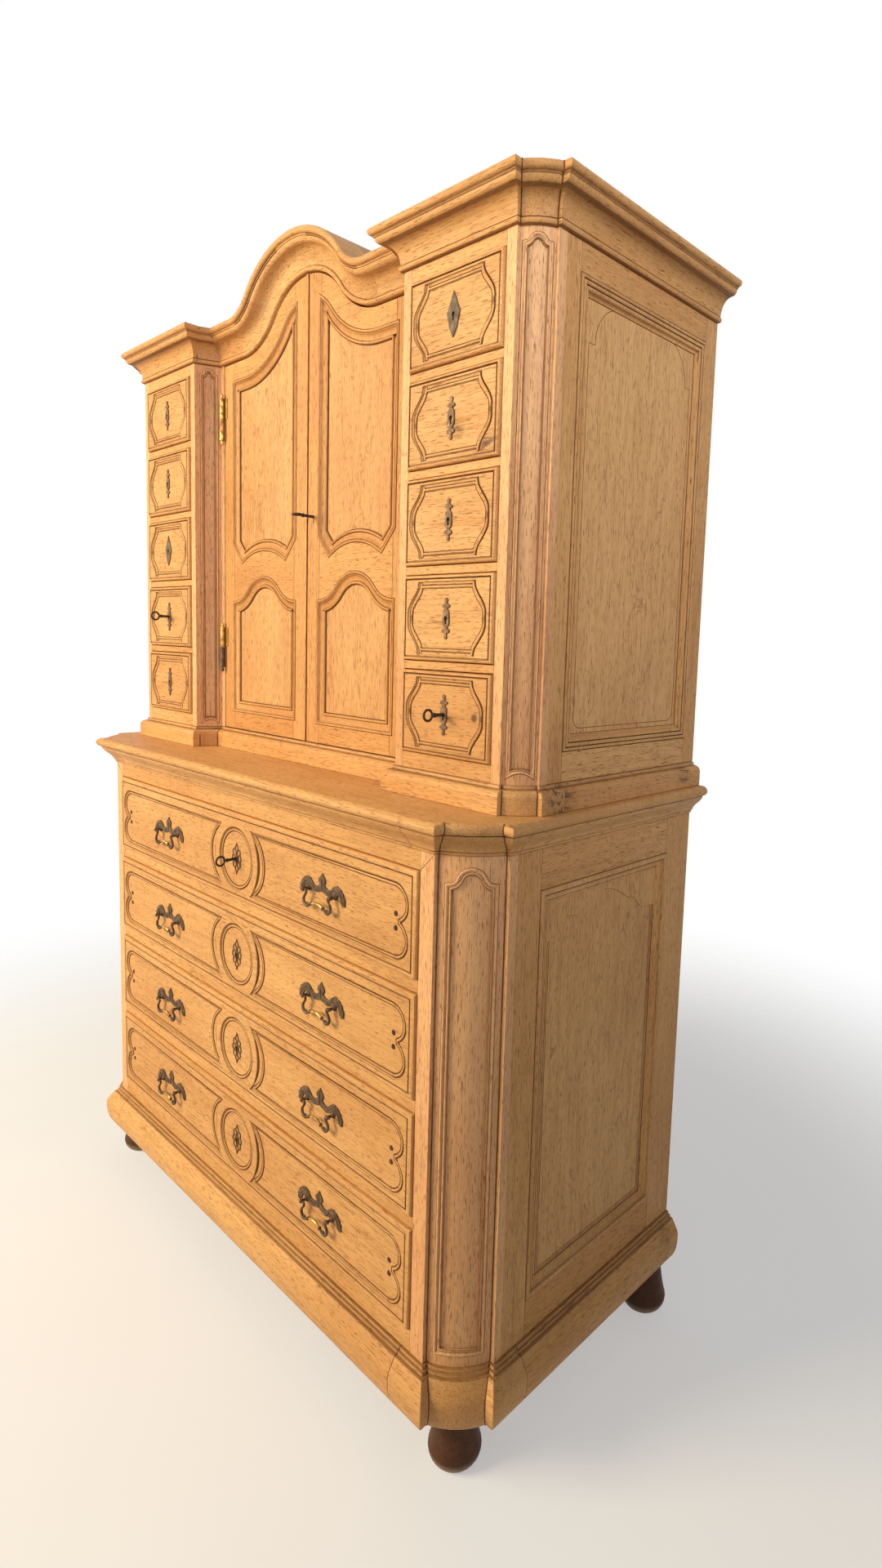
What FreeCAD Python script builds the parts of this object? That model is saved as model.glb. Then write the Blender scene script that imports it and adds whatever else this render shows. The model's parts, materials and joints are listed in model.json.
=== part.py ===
"""Two-piece oak buffet: a chest of four long drawers under a cabinet with two arched doors
between two banks of five small drawers.

Frame: +X to the viewer's right, -Y to the front, +Z up, origin on the floor below the centre.
All lengths are millimetres.
"""
import FreeCAD, Part
import math
import operator
import os

Vector = FreeCAD.Vector
DOC = FreeCAD.newDocument("buffet")
NODES = []

# Driving dimensions: alias, number and what it measures
DIMENSIONS = [
    ("half_width", 664, "centre line to the side face of both pieces"),
    ("case_depth", 610, "lower front face to the back"),
    ("key_reach", 50, "front face to the tip of a key's bow"),
    ("side_board", 30, "thickness of the side frames"),
    ("back_board", 12, "thickness of the back boards"),
    ("shelf_board", 18, "thickness of floors, shelves, roofs and partitions"),
    ("rail_depth", 28, "front rails, front to back"),
    ("foot_height", 90, "floor to the underside of the plinth"),
    ("foot_radius", 43, "widest radius of a bun foot"),
    ("foot_neck", 33, "radius of a foot under the plinth"),
    ("foot_side_inset", 19, "side face to the centre of a back foot"),
    ("foot_back_inset", 46, "back to the centre of a back foot"),
    ("front_foot_inset", 62, "side face to the centre of a front foot"),
    ("front_foot_y", 60, "lower front face to the centre of a front foot"),
    ("plinth_height", 100, "height of the plinth moulding"),
    ("plinth_reach", 30, "how far the plinth swells past the case"),
    ("plinth_wall", 34, "thickness of the plinth behind the case line"),
    ("corner_block", 52, "corner blocks of plinth and top moulding, inside the front's break"),
    ("lower_top_height", 57, "lower top with its moulding"),
    ("top_board", 20, "lower top board alone"),
    ("top_reach", 37, "overhang of the lower top"),
    ("lower_cant", 82, "width and depth of the lower corner cut away by the cant"),
    ("pilaster_step", 8, "setback of the lower pilaster behind front and side"),
    ("pilaster_bow", 12, "how far the lower pilaster bows out"),
    ("pilaster_panel", 72, "width of the sunk panel on a lower pilaster"),
    ("pilaster_sink", 3, "depth of the sunk pilaster panels"),
    ("post_depth", 100, "lower front face to the back of the corner posts"),
    ("post_lap", 12, "corner and outer posts reach this far inside the side frames"),
    ("lower_front_stile", 32, "long drawers' opening to the front's break"),
    ("long_height", 179, "height of a long drawer's opening"),
    ("long_rail", 21, "rail between long drawers"),
    ("long_bottom_rail", 39, "plinth to the lowest long drawer"),
    ("long_top_rail", 32, "highest long drawer to the moulding under the lower top"),
    ("long_travel_stop", 35, "back of a long drawer to the back boards"),
    ("drawer_proud", 6, "drawer fronts stand this far out of the case"),
    ("drawer_front", 24, "thickness of the drawer fronts"),
    ("drawer_edge", 5, "round along the edge of a drawer front"),
    ("drawer_gap", 1.5, "gap round a drawer front"),
    ("drawer_play", 0.3, "clearance of a drawer on its runners"),
    ("drawer_side", 12, "thickness of a drawer's sides and back"),
    ("drawer_bottom", 8, "thickness of a drawer's bottom"),
    ("drawer_headroom", 24, "drawer sides stop this far below the opening's top"),
    ("runner", 18, "thickness of runners and dust boards"),
    ("runner_reach", 24, "runners reach this far under a long drawer"),
    ("guide", 12, "height and width of the drawer guides"),
    ("inner_guide", 6, "width of the small drawers' inner guides"),
    ("bottom_lift", 6, "runners to the underside of a drawer's bottom"),
    ("lower_stile", 57, "front stile of the lower side, behind the post"),
    ("lower_back_stile", 80, "back stile of the lower side"),
    ("lower_side_top", 70, "top rail of the lower side"),
    ("lower_side_bottom", 67, "bottom rail of the lower side"),
    ("upper_stile", 36, "front stile of the upper side, behind the post"),
    ("upper_back_stile", 40, "back stile of the upper side"),
    ("upper_side_top", 45, "top rail of the upper side"),
    ("upper_side_bottom", 50, "bottom rail of the upper side"),
    ("moulding_width", 26, "panel moulding of the sides"),
    ("moulding_flat", 13, "flat of that moulding, next to the frame"),
    ("moulding_proud", 3, "panel moulding stands this far out"),
    ("panel_depth", 8, "side face back to the face of a side panel"),
    ("panel_board", 12, "thickness of the side panels"),
    ("upper_setback", 98, "lower front face to the front of the drawer banks"),
    ("upper_base_height", 45, "moulded base of the upper piece"),
    ("base_reach", 18, "how far the upper base swells past the case"),
    ("cornice_height", 68, "height of the cornice"),
    ("cornice_reach", 45, "overhang of the cornice"),
    ("block_lead", 3, "how much farther the cornice overhangs on the canted posts"),
    ("cornice_wall", 24, "thickness of the cornice behind the case line"),
    ("upper_cant", 44, "width and depth of the upper outer corner cut away by the cant"),
    ("upper_step", 6, "setback of the upper pilasters"),
    ("upper_bow", 5, "how far the upper outer pilaster bows out"),
    ("outer_panel", 33, "width of the sunk panel on an outer upper pilaster"),
    ("inner_panel", 30, "width of the sunk panel on an inner upper pilaster"),
    ("inner_cant", 22, "inner post's flat to the inner edge of a bank's front"),
    ("bank_stile", 20, "stile each side of the small drawers"),
    ("upper_post_depth", 62, "bank front to the back of the outer posts"),
    ("small_height", 144, "height of a small drawer's opening"),
    ("small_rail", 14, "rail between small drawers"),
    ("small_bottom_rail", 28, "upper base to the lowest small drawer"),
    ("small_top_rail", 24, "highest small drawer to the underside of the cornice"),
    ("small_side", 8, "thickness of a small drawer's sides and back"),
    ("small_travel_stop", 40, "back of a small drawer to the back boards"),
    ("door_recess", 53, "bank front back to the face of the doors"),
    ("door_half", 330, "half width of the doorway"),
    ("jamb_face", 14, "flat of the inner post beside the doorway"),
    ("jamb_depth", 35, "inner post, face of the doors to its back"),
    ("jamb_wall", 10, "thickness of the inner post behind its cant"),
    ("partition_inset", 2, "inner post's flat to the cupboard face of a partition"),
    ("door_sill", 1.5, "upper base to the bottom of the doors"),
    ("door_board", 26, "thickness of the doors"),
    ("door_side_gap", 4, "gap between a door and its jamb"),
    ("door_meet_gap", 2, "gap between the two doors"),
    ("door_head_gap", 3, "gap between a door and the arch"),
    ("door_stile", 46, "hinge stile of a door, from the jamb"),
    ("left_meeting_stile", 40, "meeting stile of the left door, from the centre line"),
    ("right_meeting_stile", 52, "meeting stile of the right door, from the centre line"),
    ("door_top_rail", 46, "arched top rail of a door"),
    ("door_bottom_rail", 47, "bottom rail of a door"),
    ("low_panel_height", 240, "lower door panel, bottom to the foot of its arch"),
    ("low_panel_rise", 54, "rise of the lower door panel's arch"),
    ("middle_rail", 138, "foot of the lower panel's arch to the upper panel's bottom corners"),
    ("cusp_width", 34, "slanting cusps at the upper panel's bottom corners"),
    ("cusp_drop", 38, "drop of those cusps"),
    ("cusp_arch", 24, "rise of the arch between the cusps"),
    ("door_panel_sink", 7, "door face back to the face of a panel"),
    ("door_panel", 11, "thickness of the door panels"),
    ("strip_width", 9, "width of the bead on the right door's meeting edge"),
    ("strip_proud", 3, "how far that bead stands out"),
    ("arch_shoulder", 109, "level stretch of the cornice each side of the arch, over the doors"),
    ("arch_rise", 113, "rise of that arch"),
    ("bonnet_board", 12, "thickness of the bonnet roof"),
    ("low_shelf", 300, "cupboard floor to the lower shelf"),
    ("high_shelf", 580, "cupboard floor to the upper shelf"),
    ("hinge_radius", 5.5, "radius of a hinge barrel"),
    ("hinge_pin", 3, "radius of a hinge pin"),
    ("hinge_fit", 0.06, "radial clearance of a hinge pin"),
    ("hinge_half", 47, "length of one hinge knuckle"),
    ("hinge_finial", 12, "length of a hinge finial"),
    ("hinge_leaf", 14, "width of a hinge leaf"),
    ("hinge_stand", 1, "gap between a hinge barrel and the door's face"),
    ("low_hinge", 189, "upper base to the middle of the low hinges"),
    ("high_hinge", 708, "upper base to the middle of the high hinges"),
    ("handle_span", 296, "centre line to the middle of a handle"),
    ("handle_posts", 40, "middle of a handle to its posts"),
    ("fittings_drop", 4, "middle of a long drawer down to its keyhole and bail pivots"),
    ("plate_thick", 3, "thickness of backplates and escutcheons"),
    ("plate_half", 69, "half width of a backplate"),
    ("plate_rise", 35, "pivots up to the tip of a backplate"),
    ("post_radius", 4, "radius of a handle post"),
    ("post_reach", 11.5, "backplate to the end of a handle post"),
    ("pivot_reach", 6.5, "backplate to the pivot of a bail"),
    ("bail_radius", 2.8, "radius of the bail rod"),
    ("bail_pin", 2, "radius of a bail's pivot pin"),
    ("bail_fit", 0.08, "radial clearance of a bail pin"),
    ("bail_side_gap", 0.6, "gap between a bail's arms and its posts"),
    ("bail_drop", 29, "pivot to the grip of a bail"),
    ("bail_bend", 11, "bend radius of a bail"),
    ("escutcheon_half_height", 33, "half height of the long drawers' escutcheons"),
    ("escutcheon_half_width", 14, "half width of the long drawers' escutcheons"),
    ("small_escutcheon_half", 33, "half height of the small drawers' escutcheons"),
    ("small_escutcheon_side", 9, "half width of the small drawers' escutcheons"),
    ("lock_width", 74, "width of a lock case"),
    ("lock_height", 56, "height of a lock case"),
    ("lock_depth", 13, "depth of a lock case"),
    ("key_radius", 3, "radius of a key's shank"),
    ("key_fit", 0.08, "radial clearance of a key in its hole"),
    ("key_depth", 14, "front face to the inner end of a key"),
    ("bow_radius", 9, "radius of a key's ring-shaped bow"),
    ("bow_wire", 2.2, "radius of the bow's wire"),
    ("door_key_x", 30, "centre line to the door's keyhole"),
    ("door_key_height", 463, "upper base to the door's keyhole"),
    ("ledge", 0.4, "smallest step in a moulding"),
]

OPERATIONS = {"+": operator.add, "-": operator.sub, "*": operator.mul, "/": operator.truediv}
LONG_ROWS = 4
SMALL_ROWS = 5
SIDES = (-1, 1)


class Size:
    """A length that keeps its expression on the sheet beside its number."""

    def __init__(self, text, number):
        self.text = text
        self.number = number

    def __float__(self):
        return float(self.number)

    def __add__(self, other):
        return combine(self, "+", other)

    def __radd__(self, other):
        return combine(other, "+", self)

    def __sub__(self, other):
        return combine(self, "-", other)

    def __rsub__(self, other):
        return combine(other, "-", self)

    def __mul__(self, other):
        return combine(self, "*", other)

    def __rmul__(self, other):
        return combine(other, "*", self)

    def __truediv__(self, other):
        return combine(self, "/", other)

    def __neg__(self):
        return combine(0, "-", self)


def as_size(value):
    """A plain number becomes a Size, and a Size stays as it is."""
    return value if isinstance(value, Size) else Size(repr(value), value)


def combine(left, sign, right):
    """Join two lengths in one expression and one number."""
    first = as_size(left)
    second = as_size(right)
    text = "({} {} {})".format(first.text, sign, second.text)
    return Size(text, OPERATIONS[sign](first.number, second.number))


class Sizes:
    """The driving dimensions, each read from the sheet by its alias."""

    def __init__(self, document):
        sheet = document.addObject("Spreadsheet::Sheet", "sizes")
        for row, (alias, number, note) in enumerate(DIMENSIONS, start=1):
            sheet.set("A{}".format(row), str(number))
            sheet.setAlias("A{}".format(row), alias)
            sheet.set("B{}".format(row), note)
        document.recompute()
        for alias, number, note in DIMENSIONS:
            setattr(self, alias, Size("sizes." + alias, float(sheet.get(alias))))


D = Sizes(DOC)

# Heights above the floor and depths in the shared frame
FRONT = -(D.case_depth - D.key_reach) / 2
BACK = FRONT + D.case_depth
BACK_FACE = BACK - D.back_board
PLINTH_TOP = D.foot_height + D.plinth_height
LONG_FOOT = PLINTH_TOP + D.long_bottom_rail
LOWER_TOP_UNDER = LONG_FOOT + LONG_ROWS * (D.long_height + D.long_rail) - D.long_rail + D.long_top_rail
LOWER_TOP = LOWER_TOP_UNDER + D.lower_top_height
BASE_TOP = LOWER_TOP + D.upper_base_height
SMALL_FOOT = BASE_TOP + D.small_bottom_rail
CORNICE_UNDER = SMALL_FOOT + SMALL_ROWS * (D.small_height + D.small_rail) - D.small_rail + D.small_top_rail
CORNICE_TOP = CORNICE_UNDER + D.cornice_height
SIDE_INNER = D.half_width - D.side_board
LOWER_BREAK = D.half_width - D.lower_cant
BANK_FRONT = FRONT + D.upper_setback
BANK_OUTER = D.half_width - D.upper_cant
DOOR_FACE = BANK_FRONT + D.door_recess
DOOR_BACK = DOOR_FACE + D.door_board
LONG_HALF = LOWER_BREAK - D.lower_front_stile
JAMB = D.door_half + D.jamb_face
ARCH_HALF = JAMB - D.arch_shoulder
BANK_INNER = JAMB + D.inner_cant
JAMB_BACK = DOOR_FACE + D.jamb_depth
SMALL_INNER = BANK_INNER + D.bank_stile
SMALL_OUTER = BANK_OUTER - D.bank_stile
DOOR_BOTTOM = BASE_TOP + D.door_sill
DOOR_LOW_PANEL = DOOR_BOTTOM + D.door_bottom_rail
LOW_PANEL_SHOULDER = DOOR_LOW_PANEL + D.low_panel_height
HIGH_PANEL_CORNER = LOW_PANEL_SHOULDER + D.middle_rail
PARTITION_INNER = JAMB + D.partition_inset


def long_bottom(row):
    """Height of the bottom of a long drawer's opening, counted from the top row down."""
    return LONG_FOOT + (LONG_ROWS - row) * (D.long_height + D.long_rail)


def small_bottom(row):
    """Height of the bottom of a small drawer's opening, counted from the top row down."""
    return SMALL_FOOT + (SMALL_ROWS - row) * (D.small_height + D.small_rail)


def long_key_height(row):
    """Height of a long drawer's keyhole and of its bails' pivots."""
    return long_bottom(row) + D.long_height / 2 - D.fittings_drop


def mirrored(side, near, far):
    """A span across X from near to far, on the left for side -1 and on the right for side 1."""
    return (near, far) if side > 0 else (-far, -near)


# Building blocks
def board(x, y, z):
    """A plain board between two corners, bound to the sheet."""
    box = DOC.addObject("Part::Box", "board")
    for (low, high), side, axis in zip((x, y, z), ("Length", "Width", "Height"), "xyz"):
        box.setExpression(side, (as_size(high) - low).text)
        box.setExpression("Placement.Base." + axis, as_size(low).text)
    return box


def shaped(shape):
    """A piece whose shape is worked out from the sheet's sizes."""
    piece = DOC.addObject("Part::Feature", "piece")
    piece.Shape = shape
    return piece


def node(label, pieces):
    """One named sub-part: a group of separate solids."""
    group = DOC.addObject("Part::Compound", label)
    group.Label = label
    group.Links = pieces
    NODES.append(group)


def block(x, y, z):
    """A plain solid between two corners, for cutting and splitting."""
    low = Vector(float(x[0]), float(y[0]), float(z[0]))
    return Part.makeBox(float(x[1]) - low.x, float(y[1]) - low.y, float(z[1]) - low.z, low)


EVERYWHERE = (-5000.0, 5000.0)


def part_of(shape, x=EVERYWHERE, y=EVERYWHERE, z=EVERYWHERE):
    """The one solid of a shape that lies between the given planes."""
    return shape.common(block(x, y, z)).Solids[0]


def flip(shape):
    """The same shape on the other side of the centre line."""
    return shape.mirror(Vector(0, 0, 0), Vector(1, 0, 0))


def both_sides(shape):
    """A piece on the right and its mirror image on the left."""
    return [shaped(flip(shape)), shaped(shape)]


def line(start, end):
    """A straight edge."""
    return Part.LineSegment(start, end).toShape()


def arc(start, middle, end):
    """A round edge through three points."""
    return Part.Arc(start, middle, end).toShape()


def chain(points):
    """Straight edges from point to point."""
    return [line(first, second) for first, second in zip(points, points[1:])]


def prism(edges, direction):
    """A closed outline, filled and pulled along a direction."""
    return Part.Face(Part.Wire(edges)).extrude(direction)


def plan_prism(points, low, high):
    """A closed plan of (x, y) points standing between two heights."""
    corners = [Vector(x, y, float(low)) for x, y in points]
    return prism(chain(corners + corners[:1]), Vector(0, 0, float(high) - float(low)))


def bar(first, second):
    """A flat-faced solid between two outlines with the same number of corners."""
    sides = zip(first, [*first[1:], first[0]], [*second[1:], second[0]], second)
    outlines = [first, second, *sides]
    shell = Part.Shell([Part.Face(Part.Wire(chain([*points, points[0]]))) for points in outlines])
    shell.sewShape()
    solid = Part.Solid(shell)
    return solid if solid.Volume > 0 else solid.reversed()


def stack(outline, profile, foot):
    """A moulded solid: the closed plan outline(reach, height) taken through a profile."""
    wires = [outline(reach, float(foot) + height) for reach, height in profile]
    return Part.makeLoft(wires, True, True)


# Moulding profiles: (reach, height) pairs from the bottom up
LEDGE = float(D.ledge)
CURVE_STEPS = 7
SLANT = 0.01


def curve(function, steps=CURVE_STEPS):
    """Points of a profile's round stretch, the parameter going from 0 to 1."""
    return [function(step / steps) for step in range(steps + 1)]


def cove(start, end):
    """A hollow that starts upright at its foot and ends level at its top."""
    quarter = math.pi / 2
    return curve(lambda s: (start[0] + (end[0] - start[0]) * (1 - math.cos(quarter * s)),
                            start[1] + (end[1] - start[1]) * math.sin(quarter * s)))


def swell(start, end):
    """A round that starts level at its foot and ends upright at its top."""
    quarter = math.pi / 2
    return curve(lambda s: (start[0] + (end[0] - start[0]) * math.sin(quarter * s),
                            start[1] + (end[1] - start[1]) * (1 - math.cos(quarter * s))))


def shoulder_round(start, end):
    """A round that starts upright at its foot and ends level at its top."""
    quarter = math.pi / 2
    return curve(lambda s: (end[0] + (start[0] - end[0]) * math.cos(quarter * s),
                            start[1] + (end[1] - start[1]) * math.sin(quarter * s)))


def wave(start, end):
    """An S-shaped stretch, upright at both ends."""
    return curve(lambda s: (start[0] + (end[0] - start[0]) * (1 - math.cos(math.pi * s)) / 2,
                            start[1] + (end[1] - start[1]) * s))


def nose(reach, back, low, high):
    """A rounded front edge between two heights."""
    middle = (low + high) / 2
    half = (high - low) / 2
    return curve(lambda s: (reach - back + back * math.sin(math.pi * s),
                            middle - half * math.cos(math.pi * s)))


def plinth_profile():
    """Two thin fillets and a slope over a full swelling that tucks in above the feet."""
    reach = float(D.plinth_reach)
    height = float(D.plinth_height)
    widest = 0.5 * height
    neck = 0.32 * reach
    shoulder = 0.9 * height
    fillet = (height - shoulder) / 2
    points = swell((0.2 * reach, 0), (reach, widest))
    points += [(reach, 0.6 * height), (0.95 * reach, 0.68 * height), (0.5 * reach, shoulder)]
    points += [(neck, shoulder + LEDGE), (neck, shoulder + fillet)]
    points += [(neck / 2, shoulder + fillet + LEDGE), (neck / 2, height)]
    return points


def top_moulding_profile():
    """Fillet and S-shaped stretch under the lower top board."""
    reach = float(D.top_reach)
    height = float(D.lower_top_height) - float(D.top_board)
    fillet = 0.16 * height
    points = [(0.08 * reach, 0), (0.1 * reach, fillet)]
    return points + wave((0.17 * reach, fillet + LEDGE), (0.74 * reach, height))


def top_board_profile():
    """Rounded edge of the lower top board."""
    reach = float(D.top_reach)
    return nose(reach, 0.32 * reach, 0, float(D.top_board))


def base_profile():
    """Upright foot of the upper piece with a round and a fillet at its top."""
    reach = float(D.base_reach)
    height = float(D.upper_base_height)
    upright = 0.6 * height
    shoulder = 0.86 * height
    points = [(reach, 0)] + shoulder_round((reach, upright), (0.3 * reach, shoulder))
    points += [(0.2 * reach, shoulder + LEDGE), (0.15 * reach, height)]
    return points


def cornice_profile():
    """Bead, deep hollow, round, fillet and rounded crown."""
    reach = float(D.cornice_reach)
    height = float(D.cornice_height)
    bead = 0.14 * height
    flare = 0.61 * height
    fillet = 0.76 * height
    crown = 0.8 * height
    points = nose(0.17 * reach, 0.09 * reach, 0, bead)
    points += cove((0.11 * reach, bead + LEDGE), (0.56 * reach, flare))
    points += swell((0.61 * reach, flare + LEDGE), (0.8 * reach, fillet))
    points += [(0.84 * reach, fillet + LEDGE), (0.85 * reach, crown)]
    points += nose(reach, 0.12 * reach, crown + LEDGE, height)
    return points


# Plans
def bow_circle(first, second, bow):
    """Centre, radius and crown of an arc that bows out to the right of the way between two plan points."""
    along = (second[0] - first[0], second[1] - first[1])
    chord = math.hypot(*along)
    out = (along[1] / chord, -along[0] / chord)
    radius = ((chord / 2) ** 2 + bow ** 2) / (2 * bow)
    middle = ((first[0] + second[0]) / 2, (first[1] + second[1]) / 2)
    centre = (middle[0] - out[0] * (radius - bow), middle[1] - out[1] * (radius - bow))
    crown = (middle[0] + out[0] * bow, middle[1] + out[1] * bow)
    return centre, radius, crown


def pilaster_circle():
    """Centre and radius of the lower right pilaster's bow."""
    step = float(D.pilaster_step)
    first = (float(LOWER_BREAK), float(FRONT) + step)
    second = (float(D.half_width) - step, float(FRONT) + float(D.lower_cant))
    (centre_x, centre_y), radius, _ = bow_circle(first, second, float(D.pilaster_bow))
    return centre_x, centre_y, radius


def lower_corner(reach):
    """Right corner of the lower plan at a reach outside the case: break, bow and break again."""
    centre_x, centre_y, radius = pilaster_circle()
    radius += reach
    front = (float(LOWER_BREAK) + reach, float(FRONT) - reach)
    side = (float(D.half_width) + reach, float(FRONT) + float(D.lower_cant) - reach)
    start = (front[0], centre_y - math.sqrt(radius ** 2 - (front[0] - centre_x) ** 2))
    end = (centre_x + math.sqrt(radius ** 2 - (side[1] - centre_y) ** 2), side[1])
    middle = (centre_x + radius / math.sqrt(2), centre_y - radius / math.sqrt(2))
    return front, start, middle, end, side


def lower_outline(reach, height):
    """Closed plan of the lower piece at a reach outside the case."""
    right = [Vector(x, y, height) for x, y in lower_corner(reach)]
    left = [Vector(-point.x, point.y, height) for point in right]
    back_right = Vector(right[4].x, float(BACK), height)
    back_left = Vector(left[4].x, float(BACK), height)
    edges = [line(left[0], right[0]), line(right[0], right[1]), arc(right[1], right[2], right[3])]
    edges += chain([right[3], right[4], back_right, back_left, left[4], left[3]])
    edges += [arc(left[3], left[2], left[1]), line(left[1], left[0])]
    return Part.Wire(edges)


def upper_path():
    """Right half of the upper plan, from the back round the bank to the doors' centre."""
    half = float(D.half_width)
    step = float(D.upper_step)
    outer = float(BANK_OUTER)
    inner = float(BANK_INNER)
    front = float(BANK_FRONT)
    cant_end = front + float(D.upper_cant)
    face = float(DOOR_FACE)
    return [(half, float(BACK)), (half, cant_end), (half - step, cant_end), (outer, front + step),
            (outer, front), (inner, front), (inner, front + step), (float(JAMB), face), (0.0, face)]


BOW_FACETS = 4
BOW_RETURNS = (1, BOW_FACETS + 2)
RETURN_SHARE = 0.73


def bowed_path():
    """The upper plan with its outer cant bowed out in flat facets."""
    path = upper_path()
    first, second = path[3], path[2]
    centre, radius, _ = bow_circle(first, second, float(D.upper_bow))
    start = math.atan2(second[1] - centre[1], second[0] - centre[0])
    end = math.atan2(first[1] - centre[1], first[0] - centre[0])
    angles = [start + (end - start) * step / BOW_FACETS for step in range(1, BOW_FACETS)]
    bowed = [(centre[0] + radius * math.cos(angle), centre[1] + radius * math.sin(angle)) for angle in angles]
    return path[:3] + bowed + path[3:]


def shifted_path(points, reach, returns=()):
    """A path of straight runs moved sideways, slanted ones farther and returns less, its corners mitred again."""
    lead = 1 + float(D.block_lead) / float(D.cornice_reach)
    runs = []
    for index, ((ax, ay), (bx, by)) in enumerate(zip(points, points[1:])):
        length = math.hypot(bx - ax, by - ay)
        along = ((bx - ax) / length, (by - ay) / length)
        slanted = abs(along[0] * along[1]) > SLANT
        share = RETURN_SHARE if index in returns else 1
        shift = reach * (lead if slanted else share)
        runs.append(((ax - along[1] * shift, ay + along[0] * shift), along))
    moved = [runs[0][0]]
    for ((px, py), (ux, uy)), ((qx, qy), (vx, vy)) in zip(runs, runs[1:]):
        travel = ((qx - px) * vy - (qy - py) * vx) / (ux * vy - uy * vx)
        moved.append((px + ux * travel, py + uy * travel))
    (last_x, last_y), along = runs[-1]
    end_x, end_y = points[-1]
    moved.append((end_x - along[1] * reach, end_y + along[0] * reach))
    return moved


def upper_outline(reach, height):
    """Closed plan of the whole upper piece at a reach outside the case."""
    right = shifted_path(bowed_path(), reach, BOW_RETURNS)[:-1]
    points = right + [(-x, y) for x, y in reversed(right)]
    corners = [Vector(x, y, height) for x, y in points]
    return Part.Wire(chain(corners + corners[:1]))


def bank_outline(reach, height):
    """Closed plan of the right bank, mitred where it meets the arch."""
    outer = shifted_path(bowed_path(), reach, BOW_RETURNS)[:-1]
    inner_x, inner_y = shifted_path(upper_path(), -float(D.cornice_wall))[-2]
    points = outer + [(inner_x, inner_y), (inner_x, float(BACK))]
    corners = [Vector(x, y, height) for x, y in points]
    return Part.Wire(chain(corners + corners[:1]))


# Arches
def ogee(centre, foot, half_span, rise, lift):
    """Edges of an S-sided arch from left to right, lifted square to itself."""
    half_turn = math.atan2(rise, half_span)
    radius = half_span / math.sin(2 * half_turn) / 2
    turn = 2 * half_turn
    hollow = radius - lift
    crown = radius + lift
    crown_height = foot + rise - radius

    def on_hollow(side, angle):
        return Vector(centre + side * (half_span - hollow * math.sin(angle)), 0,
                      foot + radius - hollow * math.cos(angle))

    def on_crown(angle):
        return Vector(centre + crown * math.sin(angle), 0, crown_height + crown * math.cos(angle))

    return [arc(on_hollow(-1, 0), on_hollow(-1, turn / 2), on_hollow(-1, turn)),
            arc(on_crown(-turn), on_crown(0), on_crown(turn)),
            arc(on_hollow(1, turn), on_hollow(1, turn / 2), on_hollow(1, 0))]


def arched_prism(half_width, bottom, lift, y, depth):
    """A solid under the doors' arch, the arch lifted or lowered square to itself."""
    foot = float(CORNICE_UNDER)
    span = float(ARCH_HALF)
    edges = ogee(0, foot, span, float(D.arch_rise), lift)
    left = Vector(-span, 0, foot + lift)
    right = Vector(span, 0, foot + lift)
    low = float(bottom)
    edges += chain([right, Vector(half_width, 0, left.z), Vector(half_width, 0, low),
                    Vector(-half_width, 0, low), Vector(-half_width, 0, left.z), left])
    shape = prism(Part.__sortEdges__(edges), Vector(0, float(depth), 0))
    return shape.translated(Vector(0, float(y), 0))


def panel_prism(half_width, bottom, shoulder, rise, bottom_rise, depth):
    """An upright panel with an arched top and a straight or hollowed foot, in the XZ plane."""
    edges = ogee(0, shoulder, half_width, rise, 0)
    top_left = Vector(-half_width, 0, shoulder)
    top_right = Vector(half_width, 0, shoulder)
    low_left = Vector(-half_width, 0, bottom)
    low_right = Vector(half_width, 0, bottom)
    edges += [line(top_right, low_right), line(low_left, top_left)]
    if bottom_rise:
        edges.append(arc(low_right, Vector(0, 0, bottom + bottom_rise), low_left))
    else:
        edges.append(line(low_right, low_left))
    return prism(Part.__sortEdges__(edges), Vector(0, depth, 0))


def on_cant(shape, first, second, shift):
    """Move a shape from the XZ plane to the upright face between two plan points."""
    turn = math.degrees(math.atan2(second[1] - first[1], second[0] - first[0]))
    moved = shape.translated(Vector(0, shift, 0))
    moved.rotate(Vector(0, 0, 0), Vector(0, 0, 1), turn)
    return moved.translated(Vector((first[0] + second[0]) / 2, (first[1] + second[1]) / 2, 0))


# Lower piece
CLEAR = 60.0


def build_feet():
    """Four turned bun feet, narrow under the plinth and full at the floor."""
    height = float(D.foot_height)
    neck = float(D.foot_neck)
    radius = float(D.foot_radius)
    rim = 0.18 * height
    waist = Vector(0.5 * (neck + radius), 0, 0.62 * height)
    edges = chain([Vector(0, 0, height), Vector(neck, 0, height)])
    edges.append(arc(Vector(neck, 0, height), waist, Vector(radius, 0, 2 * rim)))
    edges.append(arc(Vector(radius, 0, 2 * rim), Vector(radius + 0.12 * rim, 0, rim),
                     Vector(radius - rim / 2, 0, 0)))
    edges += chain([Vector(radius - rim / 2, 0, 0), Vector(0, 0, 0), Vector(0, 0, height)])
    foot = Part.Face(Part.Wire(edges)).revolve(Vector(0, 0, 0), Vector(0, 0, 1), 360)
    back_x = float(D.half_width - D.foot_side_inset)
    front_x = float(D.half_width - D.front_foot_inset)
    places = [(front_x, float(FRONT + D.front_foot_y)),
              (back_x, float(BACK - D.foot_back_inset))]
    pieces = []
    for x, y in places:
        pieces += both_sides(foot.translated(Vector(x, y, 0)))
    node("feet", pieces)


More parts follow.
